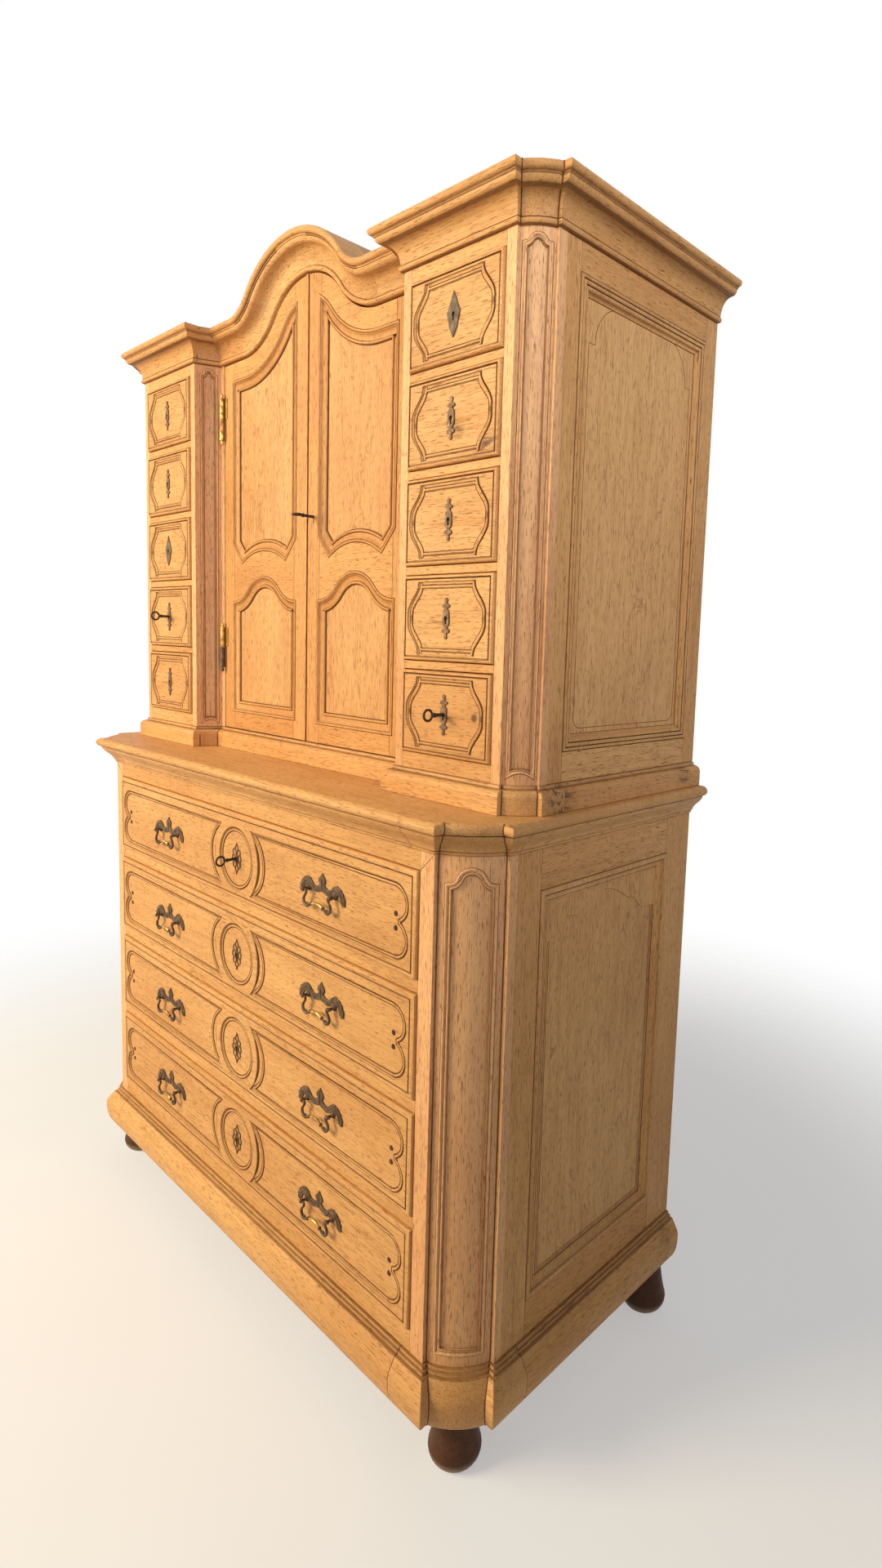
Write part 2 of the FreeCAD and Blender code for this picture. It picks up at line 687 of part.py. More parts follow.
def moulded_lengths(moulded, front_wall, side_wall, split):
    """A moulding that goes round the lower front: a front strip, corner blocks and side lengths."""
    inner = D.half_width - side_wall
    block_edge = LOWER_BREAK - D.corner_block
    strip = part_of(moulded, x=(-block_edge, block_edge), y=(EVERYWHERE[0], FRONT + front_wall))
    corner = part_of(moulded, x=(block_edge, EVERYWHERE[1]), y=(EVERYWHERE[0], split))
    length = part_of(moulded, x=(inner, EVERYWHERE[1]), y=(split, EVERYWHERE[1]))
    return [shaped(strip)] + both_sides(corner) + both_sides(length)


def build_plinth():
    """Swelling plinth with bowed corners."""
    moulded = stack(lower_outline, plinth_profile(), D.foot_height)
    split = FRONT + D.post_depth + D.plinth_wall
    node("plinth", moulded_lengths(moulded, D.plinth_wall, D.plinth_wall, split))


def build_lower_top():
    """Rounded top board over its hollow moulding."""
    moulding = stack(lower_outline, top_moulding_profile(), LOWER_TOP_UNDER)
    top = stack(lower_outline, top_board_profile(), LOWER_TOP - D.top_board)
    lengths = moulded_lengths(moulding, D.rail_depth, D.side_board, FRONT + D.post_depth)
    node("lower_top", [shaped(top)] + lengths)


def build_corner_posts():
    """Lower corner posts: front stile, bowed pilaster with its sunk panel, side edge."""
    front, start, middle, end, side = [Vector(x, y, 0) for x, y in lower_corner(0)]
    low = float(PLINTH_TOP)
    high = float(LOWER_TOP_UNDER)
    back = float(FRONT + D.post_depth)
    inner = Vector(float(LONG_HALF), front.y, 0)
    edges = [line(inner, front), line(front, start), arc(start, middle, end)]
    edges += chain([end, side, Vector(side.x, back, 0), Vector(float(SIDE_INNER - D.post_lap), back, 0),
                    Vector(inner.x, front.y + float(D.rail_depth), 0), inner])
    post = prism(edges, Vector(0, 0, high - low)).translated(Vector(0, 0, low))
    centre_x, centre_y, radius = pilaster_circle()
    sunk = radius - float(D.pilaster_sink)
    core = Part.makeCylinder(sunk, high, Vector(centre_x, centre_y, 0))
    half = float(D.pilaster_panel) / 2
    panel = panel_prism(half, low + half * 0.7, high - half * 1.4, half * 0.72, 0, 2 * CLEAR)
    cutter = on_cant(panel, (start.x, start.y), (end.x, end.y), -CLEAR).cut(core)
    node("corner_posts", both_sides(post.cut(cutter)))


def panel_moulding(panel_front, panel_back, panel_low, panel_high):
    """Four mitred lengths round a panel of the right side, sloping down to its face."""
    back_x = float(D.half_width - D.panel_depth)
    front_x = float(D.half_width + D.moulding_proud)
    front, back = float(panel_front), float(panel_back)
    low, high = float(panel_low), float(panel_high)

    def corners(x, inset):
        return [Vector(x, front + inset, low + inset), Vector(x, back - inset, low + inset),
                Vector(x, back - inset, high - inset), Vector(x, front + inset, high - inset)]

    rings = [corners(back_x, 0), corners(front_x, 0), corners(front_x, float(D.moulding_flat)),
             corners(back_x, float(D.moulding_width))]
    mitres = list(zip(*rings))
    return [bar(first, second) for first, second in zip(mitres, mitres[1:] + mitres[:1])]


def side_frame(stile_front, panel_front, panel_back, low, panel_low, panel_high, high):
    """Frame boards and panel moulding of both sides of one piece."""
    pieces = []
    for side in SIDES:
        x = mirrored(side, SIDE_INNER, D.half_width)
        pieces.append(board(x, (stile_front, panel_front), (low, high)))
        pieces.append(board(x, (panel_back, BACK), (low, high)))
        pieces.append(board(x, (panel_front, panel_back), (panel_high, high)))
        pieces.append(board(x, (panel_front, panel_back), (low, panel_low)))
    for length in panel_moulding(panel_front, panel_back, panel_low, panel_high):
        pieces += both_sides(length)
    return pieces


def side_panels(panel_front, panel_back, panel_low, panel_high):
    """Flat panels behind the mouldings of both sides."""
    face = D.half_width - D.panel_depth
    return [board(mirrored(side, face - D.panel_board, face), (panel_front, panel_back),
                  (panel_low, panel_high)) for side in SIDES]


def build_lower_sides():
    """Frames and panels of the lower sides."""
    stile = FRONT + D.post_depth
    front = stile + D.lower_stile
    back = BACK - D.lower_back_stile
    low = PLINTH_TOP + D.lower_side_bottom
    high = LOWER_TOP_UNDER - D.lower_side_top
    node("lower_side_frames", side_frame(stile, front, back, PLINTH_TOP, low, high, LOWER_TOP_UNDER))
    node("lower_side_panels", side_panels(front, back, low, high))


def build_lower_case():
    """Rails, runners with guides, bottom and back of the lower piece."""
    x = (-LONG_HALF, LONG_HALF)
    y = (FRONT, FRONT + D.rail_depth)
    levels = [PLINTH_TOP] + [long_bottom(row) + D.long_height for row in range(LONG_ROWS, 0, -1)]
    tops = [long_bottom(row) for row in range(LONG_ROWS, 0, -1)] + [LOWER_TOP_UNDER]
    node("lower_rails", [board(x, y, (low, high)) for low, high in zip(levels, tops)])
    runners = []
    y = (FRONT + D.post_depth, BACK_FACE)
    for row in range(1, LONG_ROWS + 1):
        top = long_bottom(row)
        for side in SIDES:
            inner = LONG_HALF - D.runner_reach
            runners.append(board(mirrored(side, inner, SIDE_INNER), y, (top - D.runner, top)))
            guide_x = mirrored(side, LONG_HALF, LONG_HALF + D.guide)
            runners.append(board(guide_x, y, (top, top + D.guide)))
    node("drawer_runners", runners)
    bottom_y = (FRONT + D.post_depth, BACK_FACE)
    node("lower_bottom", [board((-SIDE_INNER, SIDE_INNER), bottom_y,
                                (PLINTH_TOP, PLINTH_TOP + D.shelf_board))])
    boards = 5
    width = 2 * SIDE_INNER / boards
    node("lower_back", [board((index * width - SIDE_INNER, (index + 1) * width - SIDE_INNER),
                              (BACK_FACE, BACK), (PLINTH_TOP, LOWER_TOP - D.top_board))
                        for index in range(boards)])


# Upper piece
def build_upper_base():
    """Moulded base of the upper piece in five lengths."""
    moulded = stack(upper_outline, base_profile(), LOWER_TOP)
    inner = SIDE_INNER
    split = JAMB_BACK
    ring = moulded.cut(block((-inner, inner), (split, EVERYWHERE[1]), EVERYWHERE))
    front = (EVERYWHERE[0], split)
    middle = part_of(ring, x=(-JAMB, JAMB), y=front)
    bank = part_of(ring, x=(JAMB, EVERYWHERE[1]), y=front)
    side = part_of(ring, x=(0, EVERYWHERE[1]), y=(split, EVERYWHERE[1]))
    node("upper_base", [shaped(middle)] + both_sides(bank) + both_sides(side))


def build_upper_posts():
    """Outer and inner posts of the banks, with sunk pilaster panels, and the partitions."""
    path = upper_path()
    low = float(BASE_TOP)
    high = float(CORNICE_UNDER)
    sink = float(D.pilaster_sink)
    back = float(BANK_FRONT + D.upper_post_depth)
    rail_back = float(BANK_FRONT + D.rail_depth)
    outer_plan = [path[2], path[1], (path[1][0], back), (float(SIDE_INNER - D.post_lap), back),
                  (float(SMALL_OUTER), rail_back), (float(SMALL_OUTER), path[4][1]), path[4], path[3]]
    centre, radius, crown = bow_circle(path[3], path[2], float(D.upper_bow))
    corners = [Vector(x, y, low) for x, y in outer_plan]
    edges = chain(corners) + [arc(corners[-1], Vector(crown[0], crown[1], low), corners[0])]
    core = Part.makeCylinder(radius - sink, high, Vector(centre[0], centre[1], 0))
    half = float(D.outer_panel) / 2
    panel = panel_prism(half, low + half, high - 1.6 * half, 0.8 * half, half / 3, 2 * CLEAR)
    cutter = on_cant(panel, path[3], path[2], -CLEAR).cut(core)
    outer = prism(edges, Vector(0, 0, high - low)).cut(cutter)
    jamb_back = float(JAMB_BACK)
    inner_plan = [(float(SMALL_INNER), path[5][1]), path[5], path[6], path[7],
                  (float(D.door_half), path[7][1]), (float(D.door_half), jamb_back),
                  (float(JAMB + D.jamb_wall), jamb_back), (float(SMALL_INNER), rail_back)]
    half = float(D.inner_panel) / 2
    panel = panel_prism(half, low + half, high - 1.6 * half, 0.8 * half, half / 3, CLEAR + sink)
    cutter = on_cant(panel, path[7], path[6], -CLEAR)
    inner = plan_prism(inner_plan, low, high).cut(cutter)
    node("outer_posts", both_sides(outer))
    partitions = [board(mirrored(side, PARTITION_INNER, PARTITION_INNER + D.shelf_board),
                        (JAMB_BACK, BACK_FACE), (LOWER_TOP, CORNICE_TOP)) for side in SIDES]
    node("inner_posts", both_sides(inner) + partitions)


def build_upper_sides():
    """Frames and panels of the upper sides."""
    stile = BANK_FRONT + D.upper_post_depth
    front = stile + D.upper_stile
    back = BACK - D.upper_back_stile
    low = BASE_TOP + D.upper_side_bottom
    high = CORNICE_UNDER - D.upper_side_top
    node("upper_side_frames", side_frame(stile, front, back, BASE_TOP, low, high, CORNICE_UNDER))
    node("upper_side_panels", side_panels(front, back, low, high))


def build_banks():
    """Rails, dust boards and guides of the two banks."""
    levels = [BASE_TOP] + [small_bottom(row) + D.small_height for row in range(SMALL_ROWS, 0, -1)]
    tops = [small_bottom(row) for row in range(SMALL_ROWS, 0, -1)] + [CORNICE_UNDER]
    rails = []
    dust = []
    y = (JAMB_BACK, BACK_FACE)
    for side in SIDES:
        x = mirrored(side, SMALL_INNER, SMALL_OUTER)
        rails += [board(x, (BANK_FRONT, BANK_FRONT + D.rail_depth), (low, high))
                  for low, high in zip(levels, tops)]
        for row in range(1, SMALL_ROWS + 1):
            top = small_bottom(row)
            across = mirrored(side, PARTITION_INNER + D.shelf_board, SIDE_INNER)
            dust.append(board(across, y, (top - D.small_rail, top)))
            guide_z = (top, top + D.guide)
            inner = mirrored(side, SMALL_INNER - D.inner_guide, SMALL_INNER)
            outer = mirrored(side, SMALL_OUTER, SMALL_OUTER + D.guide)
            dust.append(board(inner, y, guide_z))
            dust.append(board(outer, y, guide_z))
    node("bank_rails", rails)
    node("dust_boards", dust)


def build_cupboard():
    """Floor and shelves behind the doors."""
    x = (-PARTITION_INNER, PARTITION_INNER)
    floor = board(x, (JAMB_BACK, BACK_FACE), (BASE_TOP - D.shelf_board, BASE_TOP))
    shelves = [board(x, (JAMB_BACK, BACK_FACE), (BASE_TOP + rise - D.shelf_board, BASE_TOP + rise))
               for rise in (D.low_shelf, D.high_shelf)]
    node("cupboard_shelves", [floor] + shelves)


def build_upper_back():
    """Back boards of the upper piece, the middle one arched under the bonnet."""
    sides = [board(mirrored(side, JAMB, SIDE_INNER), (BACK_FACE, BACK), (LOWER_TOP, CORNICE_UNDER))
             for side in SIDES]
    lift = float(D.cornice_height - D.bonnet_board)
    middle = arched_prism(float(JAMB), LOWER_TOP, lift, BACK_FACE, D.back_board)
    node("upper_back", sides + [shaped(middle)])


def build_roof():
    """Flat roofs over the banks and the bonnet roof behind the arch."""
    flat = [board(mirrored(side, PARTITION_INNER + D.shelf_board, SIDE_INNER),
                  (JAMB_BACK, BACK_FACE), (CORNICE_UNDER, CORNICE_UNDER + D.shelf_board))
            for side in SIDES]
    half = float(PARTITION_INNER)
    y = DOOR_FACE + D.cornice_wall
    depth = BACK - y
    under = float(D.cornice_height - D.bonnet_board)
    over = arched_prism(half, LOWER_TOP, float(D.cornice_height), y, depth)
    shell = over.cut(arched_prism(half, LOWER_TOP - CLEAR, under, y, depth))
    span = float(ARCH_HALF)
    crown = part_of(shell, x=(-span / 2, span / 2))
    hollow = part_of(shell, x=(span / 2, span))
    edge = part_of(shell, x=(span, half))
    node("roof", flat + [shaped(crown)] + both_sides(hollow) + both_sides(edge))


def build_cornice():
    """Cornice round each bank, a front length and a side return."""
    moulded = stack(bank_outline, cornice_profile(), CORNICE_UNDER)
    split = JAMB_BACK
    ring = moulded.cut(block((0, SIDE_INNER), (split, EVERYWHERE[1]), EVERYWHERE))
    front = part_of(ring, y=(EVERYWHERE[0], split))
    side = part_of(ring, y=(split, EVERYWHERE[1]))
    node("bank_cornice", both_sides(front) + both_sides(side))


def build_arch_cornice():
    """The same cornice carried over the doors in an S-sided arch."""
    foot = float(CORNICE_UNDER)
    face = float(DOOR_FACE)
    wall = float(D.cornice_wall)
    profile = cornice_profile()
    points = [(-wall, 0.0)] + profile + [(-wall, float(D.cornice_height))]
    corners = [Vector(0, face - reach, foot + height) for reach, height in points]
    section = Part.Face(Part.Wire(chain(corners + corners[:1])))
    span = float(ARCH_HALF)
    rise = float(D.arch_rise)
    half_turn = math.atan2(rise, span)
    radius = span / math.sin(2 * half_turn) / 2
    turn = math.degrees(2 * half_turn)
    upright = Vector(0, 1, 0)
    flat = section.translated(Vector(span, 0, 0)).extrude(Vector(float(JAMB) - span, 0, 0))
    hollow = section.translated(Vector(span, 0, 0))
    hollow = hollow.revolve(Vector(span, 0, foot + radius), upright, turn)
    crown_centre = Vector(0, 0, foot + rise - radius)
    crown = section.translated(Vector(0, 0, rise))
    crown.rotate(crown_centre, upright, -turn)
    crown = crown.revolve(crown_centre, upright, 2 * turn)
    outer = shifted_path(upper_path(), float(D.cornice_reach))[-2]
    inner = shifted_path(upper_path(), -wall)[-2]
    stretch = 1.5
    tip = (inner[0] + (outer[0] - inner[0]) * stretch, inner[1] + (outer[1] - inner[1]) * stretch)
    far = float(D.half_width)
    mitre = plan_prism([inner, tip, (far, tip[1]), (far, inner[1])], 0, 2 * float(CORNICE_TOP))
    flat = flat.cut(mitre)
    node("arch_cornice", both_sides(flat) + both_sides(hollow) + [shaped(crown)])


# Drawers
def keyhole(x, y, z, depth):
    """A round hole for a key's shank with a slot below it."""
    radius = float(D.key_radius + D.key_fit)
    start = Vector(x, y, z)
    hole = Part.makeCylinder(radius, depth, start, Vector(0, 1, 0))
    slot = Part.makeBox(radius, depth, 4 * radius, Vector(x - radius / 2, y, z - 4 * radius))
    return hole.fuse(slot)


def drawer_front(x, y, z, key_height):
    """A drawer front with a rounded edge all round its face and a keyhole."""
    front = block(x, y, z)
    face = float(y[0])
    edges = [edge for edge in front.Edges
             if all(abs(vertex.Y - face) < LEDGE for vertex in edge.Vertexes)]
    front = front.makeFillet(float(D.drawer_edge), edges)
    middle = (float(x[0]) + float(x[1])) / 2
    return front.cut(keyhole(middle, face, float(key_height), float(y[1]) - face))


def drawer_boards(opening_x, front_plane, back, bottom, height, wall, key_height):
    """A drawer in its opening: front, two sides, back and bottom."""
    low = bottom + D.drawer_play
    high = bottom + height - D.drawer_headroom
    gap = D.drawer_gap
    left = opening_x[0] + gap
    right = opening_x[1] - gap
    face = front_plane - D.drawer_proud
    inside = face + D.drawer_front
    front_z = (bottom + gap, bottom + height - gap)
    front = drawer_front((left, right), (face, inside), front_z, key_height)
    floor = low + D.bottom_lift
    pieces = [shaped(front)]
    pieces.append(board((left, left + wall), (inside, back), (low, high)))
    pieces.append(board((right - wall, right), (inside, back), (low, high)))
    pieces.append(board((left + wall, right - wall), (back - wall, back), (floor, high)))
    pieces.append(board((left + wall, right - wall), (inside, back - wall),
                        (floor, floor + D.drawer_bottom)))
    return pieces


def escutcheon(x, face, height, half_height, half_width):
    """An oval plate round a keyhole."""
    tall = Vector(0, 0, float(half_height))
    wide = Vector(float(half_width), 0, 0)
    thick = float(D.plate_thick)
    oval = Part.Ellipse(tall, wide, Vector(0, 0, 0)).toShape()
    plate = prism([oval], Vector(0, -thick, 0)).translated(Vector(x, face, height))
    return shaped(plate.cut(keyhole(x, face - thick, height, thick)))


# Half outline of a backplate, from its top finial round a wing to the middle below, as shares of
# its half width and of its rise
PLATE_SHARES = [(0, 1), (0.09, 0.72), (0.1, 0.42), (0.19, 0.2), (0.33, 0.14), (0.45, 0.36),
                (0.56, 0.56), (0.69, 0.6), (0.83, 0.5), (0.95, 0.24), (1, -0.1), (0.92, -0.34),
                (0.79, -0.26), (0.67, -0.15), (0.5, -0.15), (0.33, -0.16), (0.16, -0.08), (0, 0.02)]


def backplate(x, y, z):
    """A winged backplate with a flame finial."""
    half = [(across * float(D.plate_half), up * float(D.plate_rise)) for across, up in PLATE_SHARES]
    outline = half + [(-px, pz) for px, pz in reversed(half[1:-1])]
    points = [Vector(x + px, y, z + pz) for px, pz in outline]
    spline = Part.BSplineCurve()
    spline.interpolate(points, PeriodicFlag=True)
    return prism([spline.toShape()], Vector(0, -float(D.plate_thick), 0))


def handle_post(x, y, z):
    """A round post whose cross hole carries a bail's pin."""
    radius = float(D.post_radius)
    reach = float(D.post_reach)
    post = Part.makeCylinder(radius, reach, Vector(x, y, z), Vector(0, -1, 0))
    end = [edge for edge in post.Edges if abs(edge.CenterOfMass.y - (y - reach)) < LEDGE]
    post = post.makeFillet(radius / 3, end)
    hole = float(D.bail_pin + D.bail_fit)
    pivot = Vector(x - 2 * radius, y - float(D.pivot_reach), z)
    return post.cut(Part.makeCylinder(hole, 4 * radius, pivot, Vector(1, 0, 0)))


def build_fittings(row, face, middle):
    """Backplates, handle posts, escutcheon and lock of one long drawer."""
    pieces = []
    plate_front = face - float(D.plate_thick)
    for side in SIDES:
        x = side * float(D.handle_span)
        pieces.append(shaped(backplate(x, face, middle)))
        for end in SIDES:
            post_x = x + end * float(D.handle_posts)
            pieces.append(shaped(handle_post(post_x, plate_front, middle)))
    pieces.append(escutcheon(0, face, middle, D.escutcheon_half_height, D.escutcheon_half_width))
    inside = face + float(D.drawer_front)
    lock_x = (-D.lock_width / 2, D.lock_width / 2)
    half_height = float(D.lock_height) / 2
    lock_z = (middle - half_height, middle + half_height)
    lock = block(lock_x, (inside, inside + float(D.lock_depth)), lock_z)
    pieces.append(shaped(lock.cut(keyhole(0, inside, middle, float(D.lock_depth)))))
    node("long_drawer_{}_fittings".format(row), pieces)


def bail_shape():
    """A swinging bail about its pivot line: two pins, two arms and a grip."""
    half = float(D.handle_posts - D.post_radius - D.bail_radius - D.bail_side_gap)
    drop = float(D.bail_drop)
    bend = float(D.bail_bend)
    corner = bend * (1 - math.sqrt(0.5))
    edges = [line(Vector(-half, 0, 0), Vector(-half, 0, bend - drop)),
             arc(Vector(-half, 0, bend - drop), Vector(corner - half, 0, corner - drop),
                 Vector(bend - half, 0, -drop)),
             line(Vector(bend - half, 0, -drop), Vector(half - bend, 0, -drop)),
             arc(Vector(half - bend, 0, -drop), Vector(half - corner, 0, corner - drop),
                 Vector(half, 0, bend - drop)),
             line(Vector(half, 0, bend - drop), Vector(half, 0, 0))]
    radius = float(D.bail_radius)
    section = Part.Wire(Part.makeCircle(radius, Vector(-half, 0, 0), Vector(0, 0, 1)))
    bail = Part.Wire(edges).makePipeShell([section], True, True)
    pin_end = float(D.handle_posts + D.post_radius + D.bail_pin)
    for side in SIDES:
        bail = bail.fuse(Part.makeSphere(radius, Vector(side * half, 0, 0)))
        pin = Part.makeCylinder(float(D.bail_pin), pin_end - half, Vector(side * half, 0, 0),
                                Vector(side, 0, 0))
        bail = bail.fuse(pin)
    return bail.removeSplitter()


def build_long_drawers():
    """Four long drawers with their fittings and bails."""
    bail = bail_shape()
    face = float(FRONT - D.drawer_proud)
    pivot_y = face - float(D.plate_thick) - float(D.pivot_reach)
    for row in range(1, LONG_ROWS + 1):
        bottom = long_bottom(row)
        key_height = long_key_height(row)
        pieces = drawer_boards((-LONG_HALF, LONG_HALF), FRONT, BACK_FACE - D.long_travel_stop,
                               bottom, D.long_height, D.drawer_side, key_height)
        node("long_drawer_{}".format(row), pieces)
        middle = float(key_height)
        build_fittings(row, face, middle)
        for side, name in zip(SIDES, ("left", "right")):
            place = Vector(side * float(D.handle_span), pivot_y, middle)
            node("bail_{}_{}".format(name, row), [shaped(bail.translated(place))])


def build_small_drawers():
    """Two banks of five small drawers, each with its escutcheon."""
    face = float(BANK_FRONT - D.drawer_proud)
    for side, name in zip(SIDES, ("left", "right")):
        x = mirrored(side, SMALL_INNER, SMALL_OUTER)
        for row in range(1, SMALL_ROWS + 1):
            height = small_bottom(row) + D.small_height / 2
            pieces = drawer_boards(x, BANK_FRONT, BACK_FACE - D.small_travel_stop,
                                   small_bottom(row), D.small_height, D.small_side, height)
            middle = float(x[0] + x[1]) / 2
            pieces.append(escutcheon(middle, face, float(height), D.small_escutcheon_half,
                                     D.small_escutcheon_side))
            node("small_drawer_{}_{}".format(name, row), pieces)


# Doors
def high_panel(inner, outer):
    """The upper panel's field in the right door: arched above, cusped below."""
    face = float(DOOR_FACE)
    depth = float(D.door_board)
    arched = arched_prism(float(D.door_half), HIGH_PANEL_CORNER - CLEAR * 2,
                          -float(D.door_head_gap + D.door_top_rail), face, depth)
    corner = float(HIGH_PANEL_CORNER)
    low = corner - float(D.cusp_drop)
    cusp = float(D.cusp_width)
    top = 2 * float(CORNICE_TOP)
    peak = Vector((inner + outer) / 2, face, low + float(D.cusp_arch))
    left = Vector(inner + cusp, face, low)
    right = Vector(outer - cusp, face, low)
    edges = chain([right, Vector(outer, face, corner), Vector(outer, face, top),
                   Vector(inner, face, top), Vector(inner, face, corner), left])
    edges.append(arc(left, peak, right))
    return arched.common(prism(edges, Vector(0, depth, 0))).Solids[0]


def low_panel(inner, outer):
    """The lower panel's field in the right door: arched above, straight below."""
    field = panel_prism((outer - inner) / 2, float(DOOR_LOW_PANEL), float(LOW_PANEL_SHOULDER),
                        float(D.low_panel_rise), 0, float(D.door_board))
    return field.translated(Vector((inner + outer) / 2, float(DOOR_FACE), 0))


def door_shapes(meeting_stile, key_x):
    """Frame boards and panels of a door, made as the right door."""
    near = float(D.door_meet_gap) / 2
    far = float(D.door_half - D.door_side_gap)
    inner = float(meeting_stile)
    outer = float(D.door_half - D.door_stile)
    gap = float(D.door_head_gap)
    blank = arched_prism(float(D.door_half), DOOR_BOTTOM, -gap, DOOR_FACE, D.door_board)
    upper = high_panel(inner, outer)
    lower = low_panel(inner, outer)
    frame = blank.cut(upper).cut(lower)
    if key_x:
        height = float(BASE_TOP + D.door_key_height)
        frame = frame.cut(keyhole(key_x, float(DOOR_FACE), height, float(D.door_board)))
    middle_low = float(DOOR_LOW_PANEL + D.low_panel_height / 2)
    middle_high = float(HIGH_PANEL_CORNER + D.cusp_drop)
    rails = (inner, outer)
    boards = [part_of(frame, x=(near, inner)), part_of(frame, x=(outer, far)),
              part_of(frame, x=rails, z=(EVERYWHERE[0], middle_low)),
              part_of(frame, x=rails, z=(middle_low, middle_high)),
              part_of(frame, x=rails, z=(middle_high, EVERYWHERE[1]))]
    sunk = (DOOR_FACE + D.door_panel_sink, DOOR_FACE + D.door_panel_sink + D.door_panel)
    panels = [part_of(upper, y=sunk), part_of(lower, y=sunk)]
    return boards, panels


def hinge_shapes():
    """Fixed and moving half of a right-hand barrel hinge about its own pin."""
    radius = float(D.hinge_radius)
    pin = float(D.hinge_pin)
    half = float(D.hinge_half)
    finial = float(D.hinge_finial)
    gap = float(D.drawer_play)
    leaf = float(D.hinge_leaf)
    up = Vector(0, 0, 1)
    reach = float(hinge_axis_gap())
    bead = 0.7 * radius
    fixed = Part.makeCylinder(radius, half, Vector(0, 0, -half), up)
    fixed = fixed.fuse(Part.makeCylinder(pin, half - radius, Vector(0, 0, 0), up))
    fixed = fixed.fuse(Part.makeCone(radius / 2, bead, finial / 2, Vector(0, 0, -half - finial / 2), up))
    fixed = fixed.fuse(Part.makeSphere(bead, Vector(0, 0, -half - finial / 2)))
    fixed = fixed.fuse(Part.makeBox(leaf, reach, half, Vector(0, 0, -half)))
    moving = Part.makeCylinder(radius, half - gap, Vector(0, 0, gap), up)
    moving = moving.fuse(Part.makeCone(bead, radius / 2, finial / 2, Vector(0, 0, half), up))
    moving = moving.fuse(Part.makeSphere(bead, Vector(0, 0, half + finial / 2)))
    moving = moving.fuse(Part.makeBox(leaf, reach, half - gap, Vector(-leaf, 0, gap)))
    bore = Part.makeCylinder(pin + float(D.hinge_fit), half - radius + gap, Vector(0, 0, 0), up)
    return fixed.removeSplitter(), moving.cut(bore).removeSplitter()


def hinge_axis_gap():
    """Face of the doors to a hinge's pin, so that the barrel clears the face."""
    return D.hinge_radius + D.hinge_stand


def build_doors():
    """Two arched doors with their panels and hinges."""
    left_boards, left_panels = door_shapes(D.left_meeting_stile, 0)
    right_boards, right_panels = door_shapes(D.right_meeting_stile, float(D.door_key_x))
    node("door_left_frame", [shaped(flip(shape)) for shape in left_boards])
    node("door_left_panels", [shaped(flip(shape)) for shape in left_panels])
    strip = arched_prism(float(D.door_half), DOOR_BOTTOM, -float(D.door_head_gap),
                         DOOR_FACE - D.strip_proud, D.strip_proud)
    near = D.door_meet_gap / 2
    right_boards.append(part_of(strip, x=(near, near + D.strip_width)))
    node("door_right_frame", [shaped(shape) for shape in right_boards])
    node("door_right_panels", [shaped(shape) for shape in right_panels])
    fixed, moving = hinge_shapes()
    hinge_x = float(D.door_half - D.door_side_gap / 2)
    hinge_y = float(DOOR_FACE - hinge_axis_gap())
    places = [Vector(hinge_x, hinge_y, float(BASE_TOP + rise)) for rise in (D.low_hinge, D.high_hinge)]
    right = [moving.translated(place) for place in places]
    node("door_left_hinges", [shaped(flip(shape)) for shape in right])
    node("door_right_hinges", [shaped(shape) for shape in right])
    pinned = []
    for place in places:
        pinned += both_sides(fixed.translated(place))
    node("hinge_pins", pinned)


# Keys
def key_shape():
    """A key pointing to the back, its shank's front face plane at the origin."""
    reach = float(D.key_reach)
    ring = float(D.bow_radius)
    wire = float(D.bow_wire)
    centre = ring + wire - reach
    neck = centre + ring
    radius = float(D.key_radius)
    depth = float(D.key_depth)
    shank = Part.makeCylinder(radius, depth - neck, Vector(0, neck, 0), Vector(0, 1, 0))
    collar = Part.makeCylinder(1.5 * radius, radius, Vector(0, neck + radius, 0), Vector(0, 1, 0))
    bow = Part.makeTorus(ring, wire, Vector(0, centre, 0), Vector(1, 0, 0))
    return shank.fuse(collar).fuse(bow).removeSplitter()


def build_keys():
    """Keys in the top long drawer, two small drawers and, with its bow level, the right door."""
    key = key_shape()
    small_x = float(SMALL_INNER + SMALL_OUTER) / 2
    half = D.small_height / 2
    places = {
        "key_long_drawer": (0, FRONT, long_key_height(1)),
        "key_small_left": (-small_x, BANK_FRONT, small_bottom(4) + half),
        "key_small_right": (small_x, BANK_FRONT, small_bottom(5) + half),
        "key_door": (D.door_key_x, DOOR_FACE, BASE_TOP + D.door_key_height),
    }
    level = key.copy()
    level.rotate(Vector(0, 0, 0), Vector(0, 1, 0), 90)
    for label, (x, y, z) in places.items():
        shape = level if label == "key_door" else key
        node(label, [shaped(shape.translated(Vector(float(x), float(y), float(z))))])


def build_all():
    """Every sub-part, from the floor up."""
    build_feet()
    build_plinth()
    build_lower_top()
    build_corner_posts()
    build_lower_sides()
    build_lower_case()
    build_upper_base()
    build_upper_posts()
    build_upper_sides()
    build_banks()
    build_cupboard()
    build_upper_back()
    build_roof()
    build_cornice()
    build_arch_cornice()
    build_long_drawers()
    build_small_drawers()
    build_doors()
    build_keys()


def check_document():
    """Stop if an object failed or a sub-part has no sound solids."""
    for item in DOC.Objects:
        if "Invalid" in item.State or "Error" in item.State:
            raise RuntimeError("failed object: " + item.Label)
    for item in NODES:
        if item.Shape.isNull() or not item.Shape.isValid() or not item.Shape.Solids:
            raise RuntimeError("unsound shape: " + item.Label)


build_all()
DOC.recompute()
check_document()
os.makedirs("parts", exist_ok=True)
for sub_part in NODES:
    sub_part.Shape.exportStep(os.path.join("parts", sub_part.Label + ".step"))
    print(sub_part.Label, len(sub_part.Shape.Solids), "solids")
